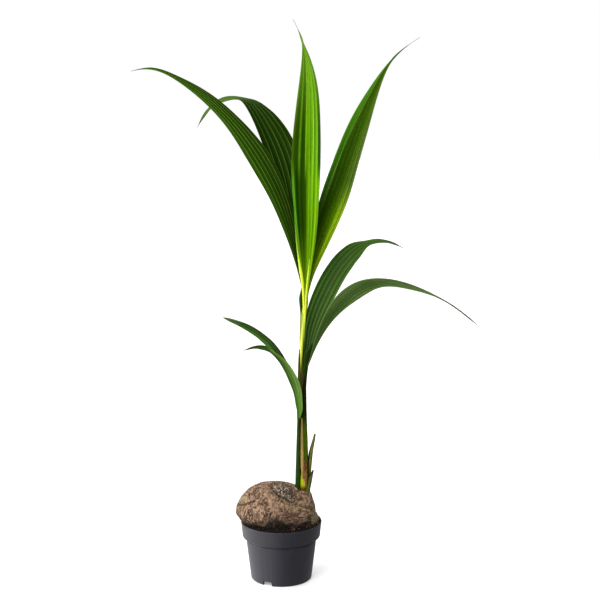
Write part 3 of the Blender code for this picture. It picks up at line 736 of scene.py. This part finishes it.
# Painted light and shade across the stalk: a near-white highlight band down its front, then its
# yellow-green, then painted shade on its right side.
across = fresh.ramp(
    side * 0.5 + 0.5 + (lines - 0.5) * 0.1, (0.06, 120, 138, 44), (0.26, 150, 166, 40),
    (0.4, 246, 252, 124), (0.56, 218, 228, 78), (0.7, 200, 212, 60), (0.82, 80, 94, 0), (1.0, 36, 52, 0))
across = fresh.mix(1 - along.step(0.455, 0.56), across, srgb(72, 66, 34))
fresh.set(Base_Color=fresh.mix(((lines - 0.55) * 3.0).clamp() * 0.4, across, srgb(120, 146, 28)))
fresh.bump(lines, 0.0004, 0.6)
shape = spindle(
    [(440, 48.6, -1.6, 7.0, 7.0), (470, 48.2, -1.4, 7.2, 7.2), (500, 47.8, -0.8, 6.4, 6.6),
     (530, 47.8, 0, 5.2, 5.6), (573, 48.1, 0, 4.6, 4.4), (630, 52, 0, 5.4, 4.0), (661, 57, 0.5, 5.6, 5.0),
     (700, 60, 2, 3.0, 3.0)],
    rows=120, around=48, ribs=7, rib=0.03)
limb("young_stalk", shape, fresh, "stalk", "young_stalk")
shaded = Finish("shaded_stalk", roughness=0.5, Specular_IOR_Level=0.12, Specular_Tint=(0.6, 0.9, 0.3, 1))
lines = shaded.noise(shaded.place(), 1.0, 4.0, 0.55, stretch=(900.0, 900.0, 14.0))
high = shaded.coordinate(2)
olive = shaded.ramp(lines, (0.35, 84, 98, 14), (0.65, 134, 150, 44))
deep = shaded.ramp(lines, (0.35, 12, 26, 0), (0.65, 44, 72, 8))
shaded.set(Base_Color=shaded.mix(high.step(0.632, 0.646), olive, deep))
shaded.bump(lines, 0.0004, 0.6)
shape = spindle(
    [(462, 48.2, 2.6, 1.4, 1.4), (482, 47.4, 6.0, 2.6, 2.4), (500, 46.8, 7.8, 3.0, 3.0),
     (573, 46.0, 7.8, 3.4, 4.2), (630, 47.4, 7.6, 3.2, 4.2), (648, 47.2, 7.8, 3.6, 4.0),
     (664, 46.0, 7.8, 4.6, 3.8), (678, 47.6, 7.4, 5.6, 4.6), (686, 49.6, 8.2, 4.6, 5.0),
     (705, 51, 11, 2, 3)],
    rows=100, around=32)
limb("back_stalk", shape, shaded, "dark_sheath", "back_stalk")
collar = sheath_finish(
    "middle_leaf_collar",
    [(0.0, 20, 36, 4), (0.4, 24, 46, 4), (0.5, 60, 84, 28), (0.6, 30, 54, 8), (0.8, 26, 50, 4),
     (1.0, 20, 36, 4)],
    streaks=0.2)
shape = spindle(
    [(436, 51.0, 0, 5.0, 6.0), (460, 52.0, -0.5, 6.4, 7.2), (480, 52.8, -0.5, 6.8, 7.2),
     (500, 54.8, -0.5, 6.8, 6.6), (516, 57.2, -1, 6.6, 6.0), (530, 59.2, -2, 8.2, 5.0),
     (545, 62.6, -3, 8.8, 4.0), (558, 68.5, -5, 5.2, 3.0), (568, 72.0, -6, 1.6, 1.4)],
    rows=140, around=48, ribs=11, rib=0.03)
limb("middle_leaf_collar", shape, collar, "dark_sheath")


def natural_spline(points, t):
    """Natural cubic spline through points, spaced by chord length, at t from 0 to 1."""
    points = np.asarray(points, float)
    knots = np.r_[0, np.cumsum(np.linalg.norm(np.diff(points, axis=0), axis=1))]
    knots /= knots[-1]
    n, h = len(points), np.diff(knots)
    system, right = np.eye(n), np.zeros((n, 3))
    for i in range(1, n - 1):
        system[i, i - 1:i + 2] = h[i - 1], 2 * (h[i - 1] + h[i]), h[i]
        right[i] = 6 * ((points[i + 1] - points[i]) / h[i] - (points[i] - points[i - 1]) / h[i - 1])
    bend = np.linalg.solve(system, right)
    i = np.clip(np.searchsorted(knots, t) - 1, 0, n - 2)
    a, b, w = (knots[i + 1] - t)[:, None], (t - knots[i])[:, None], h[i][:, None]
    curve = (bend[i] * a ** 3 + bend[i + 1] * b ** 3) / (6 * w)
    return curve + (points[i] / w - bend[i] * w / 6) * a + (points[i + 1] / w - bend[i + 1] * w / 6) * b


def along_spline(points, widths, rows=120, around=14):
    """Round tube of varying radius carried along a natural cubic spline; its rings lie level,
    which is square enough for a path that climbs."""
    t = np.linspace(0, 1, rows)
    centre = natural_spline(points, t)
    radius = np.interp(t, *np.array(widths).T)[:, None]
    turn = np.arange(around) * 2 * math.pi / around
    ring = np.stack([radius * np.cos(turn), radius * np.sin(turn), 0 * radius * turn], axis=-1)
    rings = centre[:, None] + ring
    uv = np.stack([np.broadcast_to(turn / (2 * math.pi), rings.shape[:2]),
                   np.broadcast_to(t[:, None], rings.shape[:2])], axis=-1).reshape(-1, 2)
    return rings * MM, np.concatenate([uv, uv[:1], uv[-1:]])


rib = Finish("leaf_rib", roughness=0.45, Specular_IOR_Level=0.12, Specular_Tint=(0.8, 0.9, 0.4, 1))
along = rib.coordinate(1, "UV")
lines = rib.streaks(9.0, 60.0, 3.0, 0.5)
tone = rib.ramp(
    along + (lines - 0.5) * 0.1, (0.25, 220, 230, 66), (0.44, 204, 228, 62), (0.55, 150, 190, 56),
    (0.66, 92, 142, 24), (1.0, 48, 108, 6))
rib.set(Base_Color=tone)
rib.bump(lines, 0.0003)
shape = along_spline(
    [(50.5, 1, 560), (52.5, -2.5, 640), (52, -4.5, 680), (50.2, -6, 706), (46.6, -7.5, 735),
     (42.6, -7.5, 760), (39, -6, 784), (32.5, -2, 864), (27, 3, 955), (25.5, 5, 990)],
    [(0, 0.5), (0.2, 2.2), (0.33, 3.0), (0.41, 4.0), (0.5, 2.4), (0.62, 1.9), (0.8, 1.4), (1, 0.5)])
limb("left_rib", shape, rib, "stalk")
shape = along_spline(
    [(52, 1, 560), (56, -3, 640), (60, -6, 702), (63.4, -9.5, 735), (69, -14, 784), (77, -22, 860),
     (82, -30, 930)],
    [(0, 0.5), (0.2, 2.0), (0.34, 2.6), (0.45, 2.2), (0.6, 1.5), (0.8, 1.1), (1, 0.4)])
limb("right_rib", shape, rib, "stalk")

# ------------------------------------------------------------------ leaves
# Eight lobes of four young two-lobed leaves: leathery blades pleated like a fan, with a soft
# sheen and pale ribs along the folds, joined to their stalks at a narrow foot and drawn out
# at the tip into a dry thread.

PLEAT_DEPTH = 1.7                                       # half the height of a fold, mm
FOOT_THICK, BLADE_THICK, THIN_THICK = 2.2, 0.75, 0.6    # a leaf's thickness along its length, mm
POINT_LENGTH = 0.12                                     # share of the length that a foot's point takes
HAIR_END = 0.2                                          # what is left of the thread at its very tip


def turned_by(keys, t):
    """Smooth steps between (t, degrees) keys, in radians."""
    keys = np.asarray(keys, float)
    i = np.clip(np.searchsorted(keys[:, 0], t) - 1, 0, len(keys) - 2)
    x = np.clip((t - keys[i, 0]) / (keys[i + 1, 0] - keys[i, 0]), 0, 1)
    x = x * x * (3 - 2 * x)
    return np.radians(keys[i, 1] * (1 - x) + keys[i + 1, 1] * x)


def blade(route, wide, rise, fall, foot, span, bearing, roll, pleats, gutter=(0.0, 0.0), stations=250,
          steps=49, thread=2.8, drawn=(0.94, 1.0), cord=1.9, point=0.0):
    """Pleated lobe.  A cross-section is carried along a spline on a frame that starts level at
    a bearing and is rolled by keyed angles.  Its width is a product of two power curves, which
    gives a lance shape, with a foot and a thread added as a root sum of squares; the thread,
    cord mm thick, is drawn out to a hair between the two shares of length in drawn.  Across
    it the height is a rounded triangle wave of pleats plus a gutter, a fold of so much of the
    half width about a line at some share across.  Two such faces lie a leaf's thickness apart.
    point, 0 to 1, narrows the lobe so far towards nothing at its foot.
    Returns rings in metres and a UV of share across and share along."""
    t = np.linspace(0, 1, stations)
    centre = natural_spline(route, t)
    along = natural_spline(route, np.clip(t + 1e-3, 0, 1)) - natural_spline(route, np.clip(t - 1e-3, 0, 1))
    along /= np.linalg.norm(along, axis=1)[:, None]
    level = np.array([-math.sin(math.radians(bearing)), math.cos(math.radians(bearing)), 0])
    across = level - (along @ level)[:, None] * along
    across /= np.linalg.norm(across, axis=1)[:, None]
    face = np.cross(along, across)
    tilt = turned_by(roll, t)[:, None]
    side, out = across * np.cos(tilt) + face * np.sin(tilt), face * np.cos(tilt) - across * np.sin(tilt)
    x = np.clip((t - span[0]) / (span[1] - span[0]), 1e-6, 1 - 1e-6)
    peak = rise / (rise + fall)
    shape = (x / peak) ** rise * ((1 - x) / (1 - peak)) ** fall
    hair = np.interp(t, drawn, (1.0, HAIR_END))
    narrow = np.where(x < peak, foot * np.clip(0.35 + 14 * t, 0, 1), thread * hair)
    half = np.sqrt((wide * shape) ** 2 + narrow ** 2)[:, None] / 2
    half *= 1 - point * np.clip(1 - t / POINT_LENGTH, 0, 1)[:, None] ** 1.5
    u = np.linspace(-1, 1, steps)
    wave = np.abs((u + 1) * pleats % 2 - 1) * 2 - 1
    wave = wave * (1.15 - 0.15 * wave ** 2)
    depth = PLEAT_DEPTH * np.minimum(1.0, half / (0.4 * wide)) * (1 - 0.4 * u ** 8)
    droop = 0.35 * np.sin(7 * math.pi * t + wide)[:, None] * u ** 3
    hollow = gutter[0] * half * (np.abs(u - gutter[1]) - 0.5) * np.clip(2.2 - 2.2 * t, 0, 1)[:, None]
    height = depth * wave + hollow + droop * half / 12
    end = min(span[1], 0.93)
    layers = (FOOT_THICK, BLADE_THICK, THIN_THICK, cord, cord)
    thick = np.interp(t, (0, 0.08, end - 0.08, end, 1), layers) * hair
    thick = thick[:, None] * (1 - 0.5 * u ** 10)
    flat = centre[:, None] + side[:, None] * (half * u)[..., None]
    top = flat + out[:, None] * (height + thick / 2)[..., None]
    under = flat + out[:, None] * (height - thick / 2)[..., None]
    rings = np.concatenate([top, under[:, ::-1]], axis=1) * MM
    share = np.broadcast_to(np.concatenate([u, u[::-1]]) * 0.5 + 0.5, rings.shape[:2])
    uv = np.stack([share, np.broadcast_to(t[:, None], rings.shape[:2])], axis=-1).reshape(-1, 2)
    return rings, np.concatenate([uv, uv[:1], uv[-1:]])


def leaf_finish(name, pleats, low, high, ridge, turn_over=(0.45, 0.65), vein=0.35, gloss=0.42, ribs=0.5,
                valley_shade=0.45, lift=None, slant=0.0, dry=0.93, foot=None, tip=None, thread=srgb(82, 72, 54)):
    """Leaf skin.  Its green runs across the lobe through the stops of low and, past the shares
    of its length in turn_over, through those of high; slant leans the stops across the lobe.
    On some lobes these stops also paint the light and shade of the folds.  Pale ribs, partly
    their own colour and partly painted highlight, follow the crests of the folds, painted shade
    darkens their valleys, and fine veins run between them, all pale in the colour ridge or in
    the green itself times lift.  The margin is a darker line, and from the share dry on the tip
    dries to the colour thread.
    foot is (share of the length, strength, colour) of a tint that fades out from the foot, and
    tip is (shares of the length, strength, colour) of one that comes in towards the tip."""
    green = Finish(name, roughness=gloss, Specular_IOR_Level=0.05, Specular_Tint=(0.5, 0.9, 0.15, 1))
    split = green.coordinate(0, "UV")
    along = green.coordinate(1, "UV")
    fine = green.streaks(46.0, 3.0, 4.0, 0.65) * 0.5 + green.streaks(21.0, 2.0, 2.0, 0.5) * 0.5
    soft = green.streaks(14.0, 4.0, 3.0, 0.5)
    mottle = green.noise(green.place(), 55.0, 4.0, 0.6)
    place = split + (soft - 0.5) * 0.05 + (0.8 - along) * slant
    body = green.mix(along.step(*turn_over), green.ramp(place, *low), green.ramp(place, *high))
    if tip is not None:
        body = green.mix(along.step(*tip[0]) * tip[1], body, tip[2])
    wave = (split * (2 * math.pi * pleats)).math("COSINE") * 0.5 + 0.5
    # Pale ribs on the crests of the folds, partly their own colour and partly painted highlight, and
    # painted shade in their valleys.
    rib = wave.step(0.93, 1.0) * ribs * (soft * 1.2 + 0.3)
    valley_shade_mask = (1 - wave).step(0.82, 1.0) * valley_shade
    shaded = green.mix(valley_shade_mask, body, srgb(16, 34, 2))
    pale = green.mix(1.0, shaded, lift, "MULTIPLY") if lift else ridge
    ribbed = green.mix(rib.clamp(), shaded, pale)
    veined = green.mix(((fine - 0.5) * 5.0).clamp() * vein, ribbed, pale)
    veined = green.mix(((0.48 - fine) * 5.0).clamp() * vein, veined, srgb(14, 30, 3))
    patchy = green.mix(((mottle - 0.5) * 1.6).clamp() * 0.35, veined, srgb(30, 52, 6))
    edge = (split - 0.5).math("ABSOLUTE").step(0.482, 0.497) * 0.55
    edged = green.mix(edge, patchy, srgb(58, 70, 18))
    if foot is not None:
        edged = green.mix((1 - along.step(0.0, foot[0])) * foot[1], edged, foot[2])
    dry = (along + (soft - 0.5) * 0.04).step(dry, min(0.985, dry + 0.12))
    green.set(Base_Color=green.mix(dry, edged, thread), Roughness=soft * 0.14 + (gloss - 0.05) + dry * 0.3)
    green.bump(fine * 0.7 + wave * 0.3, 0.0005, 0.6)
    return green


# Painted light and shade: across the spear these stops give bright yellow-green bands where its folds face
# the light and dark ones where they face away.
spear_light_and_shade_low = [(0.0, 92, 146, 42), (0.03, 46, 112, 0), (0.06, 84, 146, 28), (0.09, 60, 108, 14),
              (0.12, 20, 50, 0), (0.3, 34, 64, 2), (0.41, 36, 70, 0), (0.435, 100, 150, 10),
              (0.55, 100, 150, 10), (0.58, 58, 108, 0), (0.62, 104, 156, 14),
              (0.72, 92, 144, 0), (0.76, 56, 108, 0), (0.81, 98, 150, 6),
              (0.93, 108, 160, 8), (1.0, 80, 118, 22)]
spear_light_and_shade_high = [(0.0, 50, 78, 6), (0.1, 44, 74, 2), (0.15, 36, 72, 0), (0.18, 44, 84, 0),
               (0.21, 76, 120, 12), (0.24, 76, 122, 8), (0.27, 32, 68, 0), (0.355, 36, 76, 0),
               (0.385, 106, 158, 14), (0.47, 104, 158, 6), (0.52, 66, 118, 0), (0.59, 66, 118, 0),
               (0.66, 112, 166, 18), (0.71, 76, 128, 0), (0.76, 72, 122, 0), (0.84, 106, 156, 28),
               (0.88, 54, 104, 0), (0.92, 32, 74, 0), (1.0, 26, 58, 4)]
spear = leaf_finish(
    "spear_leaf", pleats=6, low=spear_light_and_shade_low, high=spear_light_and_shade_high, ridge=srgb(132, 176, 30),
    turn_over=(0.42, 0.53), vein=0.75, ribs=0.2, valley_shade=0.3, tip=((0.6, 0.88), 0.6, srgb(104, 150, 32)),
    lift=(1.9, 1.7, 2.4, 1), foot=(0.3, 0.85, srgb(106, 140, 6)))
shape = blade(
    [(56.5, -3, 655), (60, -16, 813), (60.5, -34, 953), (63, -54, 1092), (52.5, -70, 1245), (41, -81, 1281),
     (29, -90, 1306)],
    wide=72, rise=1.25, fall=1.0, foot=11, span=(0.03, 0.916), bearing=256,
    roll=((0, 10), (0.5, -12), (1, -8)), pleats=6, gutter=(-0.55, -0.08), thread=4.4, drawn=(0.935, 0.962))
limb("spear_lobe", shape, spear, "young_leaf", "spear_lobe_lower", "spear_lobe_upper")
# Painted light and shade: these stops give bright strips along the right lobe's margins where they face the
# light, and dark olive where its folds face away.
right_light_and_shade_low = [(0.0, 40, 70, 2), (0.5, 34, 62, 0), (0.66, 62, 96, 2), (0.88, 84, 122, 4), (1.0, 132, 168, 14)]
right_light_and_shade_high = [(0.0, 84, 138, 44), (0.1, 68, 126, 12), (0.27, 50, 102, 4), (0.34, 84, 122, 36),
              (0.38, 38, 68, 0), (0.72, 44, 74, 2), (0.84, 62, 92, 8), (1.0, 72, 98, 28)]
right = leaf_finish(
    "right_leaf", pleats=6, low=right_light_and_shade_low, high=right_light_and_shade_high, ridge=srgb(84, 118, 22), turn_over=(0.28, 0.46),
    vein=0.45, lift=(2.0, 1.8, 4.0, 1), slant=0.4, foot=(0.1, 0.8, srgb(30, 48, 0)))
shape = blade(
    [(61, 5, 667), (67, 12, 730), (84, 20, 790), (127.5, 32, 914), (169, 42, 1040), (217, 52, 1154),
     (262, 59, 1222), (316, 64, 1262)],
    wide=75, rise=1.12, fall=1.3, foot=6, span=(0.02, 0.89), bearing=247,
    roll=((0, -3), (0.5, -15), (1, -9)), pleats=6, gutter=(-0.12, 0.0), thread=4.6, drawn=(0.89, 0.962))
limb("right_lobe", shape, right, "young_leaf", "right_lobe_lower", "right_lobe_middle", "right_lobe_tip")
old_low = [(0.0, 26, 54, 0), (0.5, 32, 66, 0), (0.85, 36, 76, 0), (1.0, 58, 100, 16)]
old_high = [(0.0, 28, 58, 0), (0.5, 30, 62, 0), (0.75, 38, 78, 2), (1.0, 66, 106, 20)]
old = leaf_finish(
    "left_leaf", pleats=6, low=old_low, high=old_high, ridge=srgb(120, 154, 56), ribs=0.9, valley_shade=0.3,
    dry=0.97, thread=srgb(50, 56, 26))
shape = blade(
    [(51, 3.5, 688), (28.5, 16, 801), (-9, 26, 914), (-70.5, 36, 1022), (-153.5, 46, 1115),
     (-236, 54, 1171), (-296, 58, 1192), (-340, 62, 1186)],
    wide=76, rise=1.0, fall=1.7, foot=6, span=(0, 1), bearing=155,
    roll=((0, 10), (0.5, -17), (0.62, -17), (0.84, -22), (1, -50)), pleats=6, thread=4.8,
    drawn=(0.935, 0.99), cord=2.2)
limb("left_lobe", shape, old, "old_leaf", "left_lobe_lower", "left_lobe_middle", "left_lobe_tip")
shade = leaf_finish(
    "back_leaf", pleats=6,
    low=[(0.0, 24, 50, 0), (1.0, 20, 44, 0)],
    high=[(0.0, 70, 104, 30), (1.0, 64, 100, 24)],
    ridge=srgb(84, 114, 46), turn_over=(0.72, 0.82), ribs=0.85)
shape = blade(
    [(50, 13, 690), (44, 33, 745), (36, 54, 817), (21, 86, 932), (-12, 111, 1028), (-54, 133, 1093),
     (-78, 154, 1112), (-146, 177, 1109), (-200, 205, 1045)],
    wide=76, rise=1.45, fall=1.4, foot=6, span=(0, 1), bearing=118,
    roll=((0, 18), (0.5, -10), (0.76, 12), (0.88, -53), (1, -119)), pleats=6, thread=1.6, drawn=(0.95, 1.0))
limb("back_lobe", shape, shade, "old_leaf", "back_lobe_lower", "back_lobe_middle", "back_lobe_tip")
# Painted sheen: the grey, bluish greens in the stops of the two middle lobes stand partly for a sheen on
# their green.
middle_back = leaf_finish(
    "middle_back_leaf", pleats=5,
    low=[(0.0, 76, 110, 46), (0.5, 66, 92, 44), (1.0, 60, 104, 30)],
    high=[(0.0, 66, 102, 36), (0.5, 60, 92, 32), (1.0, 70, 106, 44)],
    ridge=srgb(96, 128, 56), turn_over=(0.6, 0.72), vein=0.3, ribs=0.45, valley_shade=0.3, dry=0.95,
    thread=srgb(140, 140, 118))
shape = blade(
    [(58, 5.5, 512), (70, 23, 596), (101, 43, 676), (145, 65, 746), (204, 83, 788), (251, 96, 788),
     (292, 110, 768)],
    wide=52, rise=0.9, fall=0.9, foot=6, span=(0, 0.96), bearing=32,
    roll=((0, 51), (0.55, 63), (0.66, 46), (0.78, 4), (0.86, 14), (1, 52)), pleats=5, drawn=(0.95, 1.0),
    cord=1.6)
limb("mid_back_lobe", shape, middle_back, "old_leaf",
     "mid_back_lobe_lower", "mid_back_lobe_middle", "mid_back_lobe_tip")
# Its grey-green stops and pale ridge colour are partly painted sheen.
middle_front = leaf_finish(
    "middle_front_leaf", pleats=6,
    low=[(0.0, 86, 120, 50), (0.5, 72, 108, 36), (0.8, 96, 134, 56), (1.0, 116, 154, 74)],
    high=[(0.0, 70, 92, 46), (0.25, 104, 132, 76), (0.6, 96, 128, 64), (1.0, 130, 160, 92)],
    ridge=srgb(168, 192, 130), ribs=1.0, valley_shade=0.9, dry=0.76, thread=srgb(74, 66, 50))
shape = blade(
    [(62, -6, 513), (88, -26, 588), (137, -52, 669), (211, -80, 722), (290, -106, 719), (368, -135, 691),
     (438, -164, 641.5)],
    wide=78, rise=1.0, fall=1.1, foot=6, span=(0, 0.85), bearing=335, roll=((0, 13), (0.5, -26), (1, -30)),
    pleats=6, thread=3.6, drawn=(0.95, 1.0), cord=2.8)
limb("mid_front_lobe", shape, middle_front, "old_leaf",
     "mid_front_lobe_lower", "mid_front_lobe_middle", "mid_front_lobe_tip")
small = leaf_finish(
    "low_leaf", pleats=3,
    low=[(0.0, 28, 66, 4), (0.3, 40, 88, 8), (0.45, 54, 100, 16), (0.6, 86, 122, 44), (0.85, 110, 142, 66),
         (1.0, 90, 130, 46)],
    high=[(0.0, 80, 124, 42), (0.5, 54, 98, 20), (0.72, 32, 54, 18), (1.0, 44, 64, 34)],
    ridge=srgb(132, 164, 88), turn_over=(0.74, 0.82), vein=0.35, ribs=0.7, valley_shade=0.9,
    foot=(0.35, 0.5, srgb(52, 98, 12)))
shape = blade(
    [(42.5, -14, 392), (37.8, -29.5, 452), (22, -53, 506), (-15, -80, 561), (-51, -98, 580),
     (-84, -112, 574.5)],
    wide=38, rise=0.9, fall=1.1, foot=5, span=(-0.2, 1), bearing=208,
    roll=((0, 0), (0.5, 14), (0.72, 10), (0.84, 50), (1, 58)), pleats=3, stations=160, steps=37, point=0.75)
limb("low_front_lobe", shape, small, "low_leaf", "low_front_lobe_lower", "low_front_lobe_upper")
# Painted shade: these stops darken the lobe towards its foot, for the shadow near its junction, and along
# one side.
narrow = leaf_finish(
    "low_back_leaf", pleats=3,
    low=[(0.0, 40, 84, 14), (0.4, 34, 70, 10), (0.6, 24, 40, 12), (1.0, 26, 38, 16)],
    high=[(0.0, 70, 116, 36), (0.42, 46, 96, 10), (0.58, 36, 64, 12), (1.0, 42, 58, 30)],
    ridge=srgb(120, 146, 90), turn_over=(0.35, 0.6), ribs=0.5, valley_shade=0.5, dry=0.97,
    tip=((0.78, 0.95), 0.55, srgb(96, 124, 74)))
shape = blade(
    [(39, -8, 437), (19, -6, 494), (-17, -1, 554), (-69, 3, 598), (-134, 8, 626)],
    wide=22, rise=1.3, fall=0.7, foot=6, span=(-0.1, 1), bearing=229, roll=((0, 33), (0.5, 23), (1, 32)),
    pleats=3, stations=160, steps=37)
limb("low_back_lobe", shape, narrow, "low_leaf", "low_back_lobe")

# ------------------------------------------------------------------ floor, light and camera
# A seamless pale sweep in a bright room: one broad soft light from the left front, a second
# from the wall on the left, a weaker one from the right, and one high behind that lifts the
# edges of the leaves.

sweep = Finish(
    "pale_floor", roughness=1.0, Specular_IOR_Level=0.0, Base_Color=(0.86, 0.86, 0.86, 1),
    Emission_Strength=1.0)
reach = sweep.node("ShaderNodeVectorMath", {"operation": "LENGTH"}, {0: sweep.place()}, output=1)
greys = [(at, (grey, grey, grey, 1)) for at, grey in ((0.0, 0.3), (0.2, 0.34), (0.45, 0.45), (0.9, 0.66))]
sweep.set(Emission_Color=sweep.node("ShaderNodeValToRGB", {"stops": greys}, {0: reach * 0.2}))
FLOOR_RADIUS, FLOOR_SIDES = 9, 96
ring = np.arange(FLOOR_SIDES) * 2 * math.pi / FLOOR_SIDES
edge = np.stack([FLOOR_RADIUS * np.cos(ring), FLOOR_RADIUS * np.sin(ring), 0 * ring], axis=1)
mesh = bpy.data.meshes.new("floor")
mesh.from_pydata(edge.tolist(), [], [list(range(FLOOR_SIDES))])
mesh.materials.append(sweep.material)
floor = bpy.data.objects.new("floor", mesh)
bpy.context.scene.collection.objects.link(floor)
floor.visible_glossy = floor.visible_diffuse = False

world = bpy.data.worlds.new("bright_room")
bpy.context.scene.world = world
world.use_nodes = True
tree = world.node_tree
room = tree.nodes["Background"]
room.inputs["Color"].default_value = (1, 1, 1, 1)
seen = tree.nodes.new("ShaderNodeLightPath")
heading = tree.nodes.new("ShaderNodeTexCoord")
parts = tree.nodes.new("ShaderNodeSeparateXYZ")
walls = tree.nodes.new("ShaderNodeMapRange")
walls.inputs["From Min"].default_value, walls.inputs["From Max"].default_value = -1.0, 0.2
walls.inputs["To Min"].default_value, walls.inputs["To Max"].default_value = 1.8, 0.36
level = tree.nodes.new("ShaderNodeMix")
level.inputs["B"].default_value = 1.0
tree.links.new(heading.outputs["Generated"], parts.inputs["Vector"])
tree.links.new(parts.outputs["X"], walls.inputs["Value"])
tree.links.new(walls.outputs["Result"], level.inputs["A"])
tree.links.new(seen.outputs["Is Camera Ray"], level.inputs["Factor"])
tree.links.new(level.outputs["Result"], room.inputs["Strength"])


def softbox(name, place, aim, size, power):
    """Square area light at a point, turned so that its face looks at aim."""
    lamp = bpy.data.lights.new(name, "AREA")
    lamp.shape, lamp.size, lamp.energy = "SQUARE", size, power
    made = bpy.data.objects.new(name, lamp)
    bpy.context.scene.collection.objects.link(made)
    x, y, z = np.array(aim) - np.array(place)
    made.location = place
    made.rotation_euler = (math.atan2(math.hypot(x, y), -z), 0, math.atan2(-x, y))


softbox("key", (-1.2, -2.8, 2.8), (0.0, 0.0, 0.7), size=1.5, power=62)
softbox("left_wall", (-2.6, -0.2, 1.1), (0.0, 0.0, 0.6), size=1.8, power=40)
softbox("fill", (2.2, -2.6, 2.4), (0.0, 0.0, 0.7), size=1.6, power=22)
softbox("rim", (0.9, 2.0, 2.6), (0.0, 0.0, 0.8), size=1.4, power=26)

lens = bpy.data.cameras.new("camera")
lens.lens, lens.sensor_width = 98.64, 36.0
camera = bpy.data.objects.new("camera", lens)
bpy.context.scene.collection.objects.link(camera)
camera.location = (0.044, -3.7, 1.4)
camera.rotation_euler = (math.radians(78.818), 0, 0)
bpy.context.scene.camera = camera
bpy.context.scene.view_settings.view_transform = "Standard"
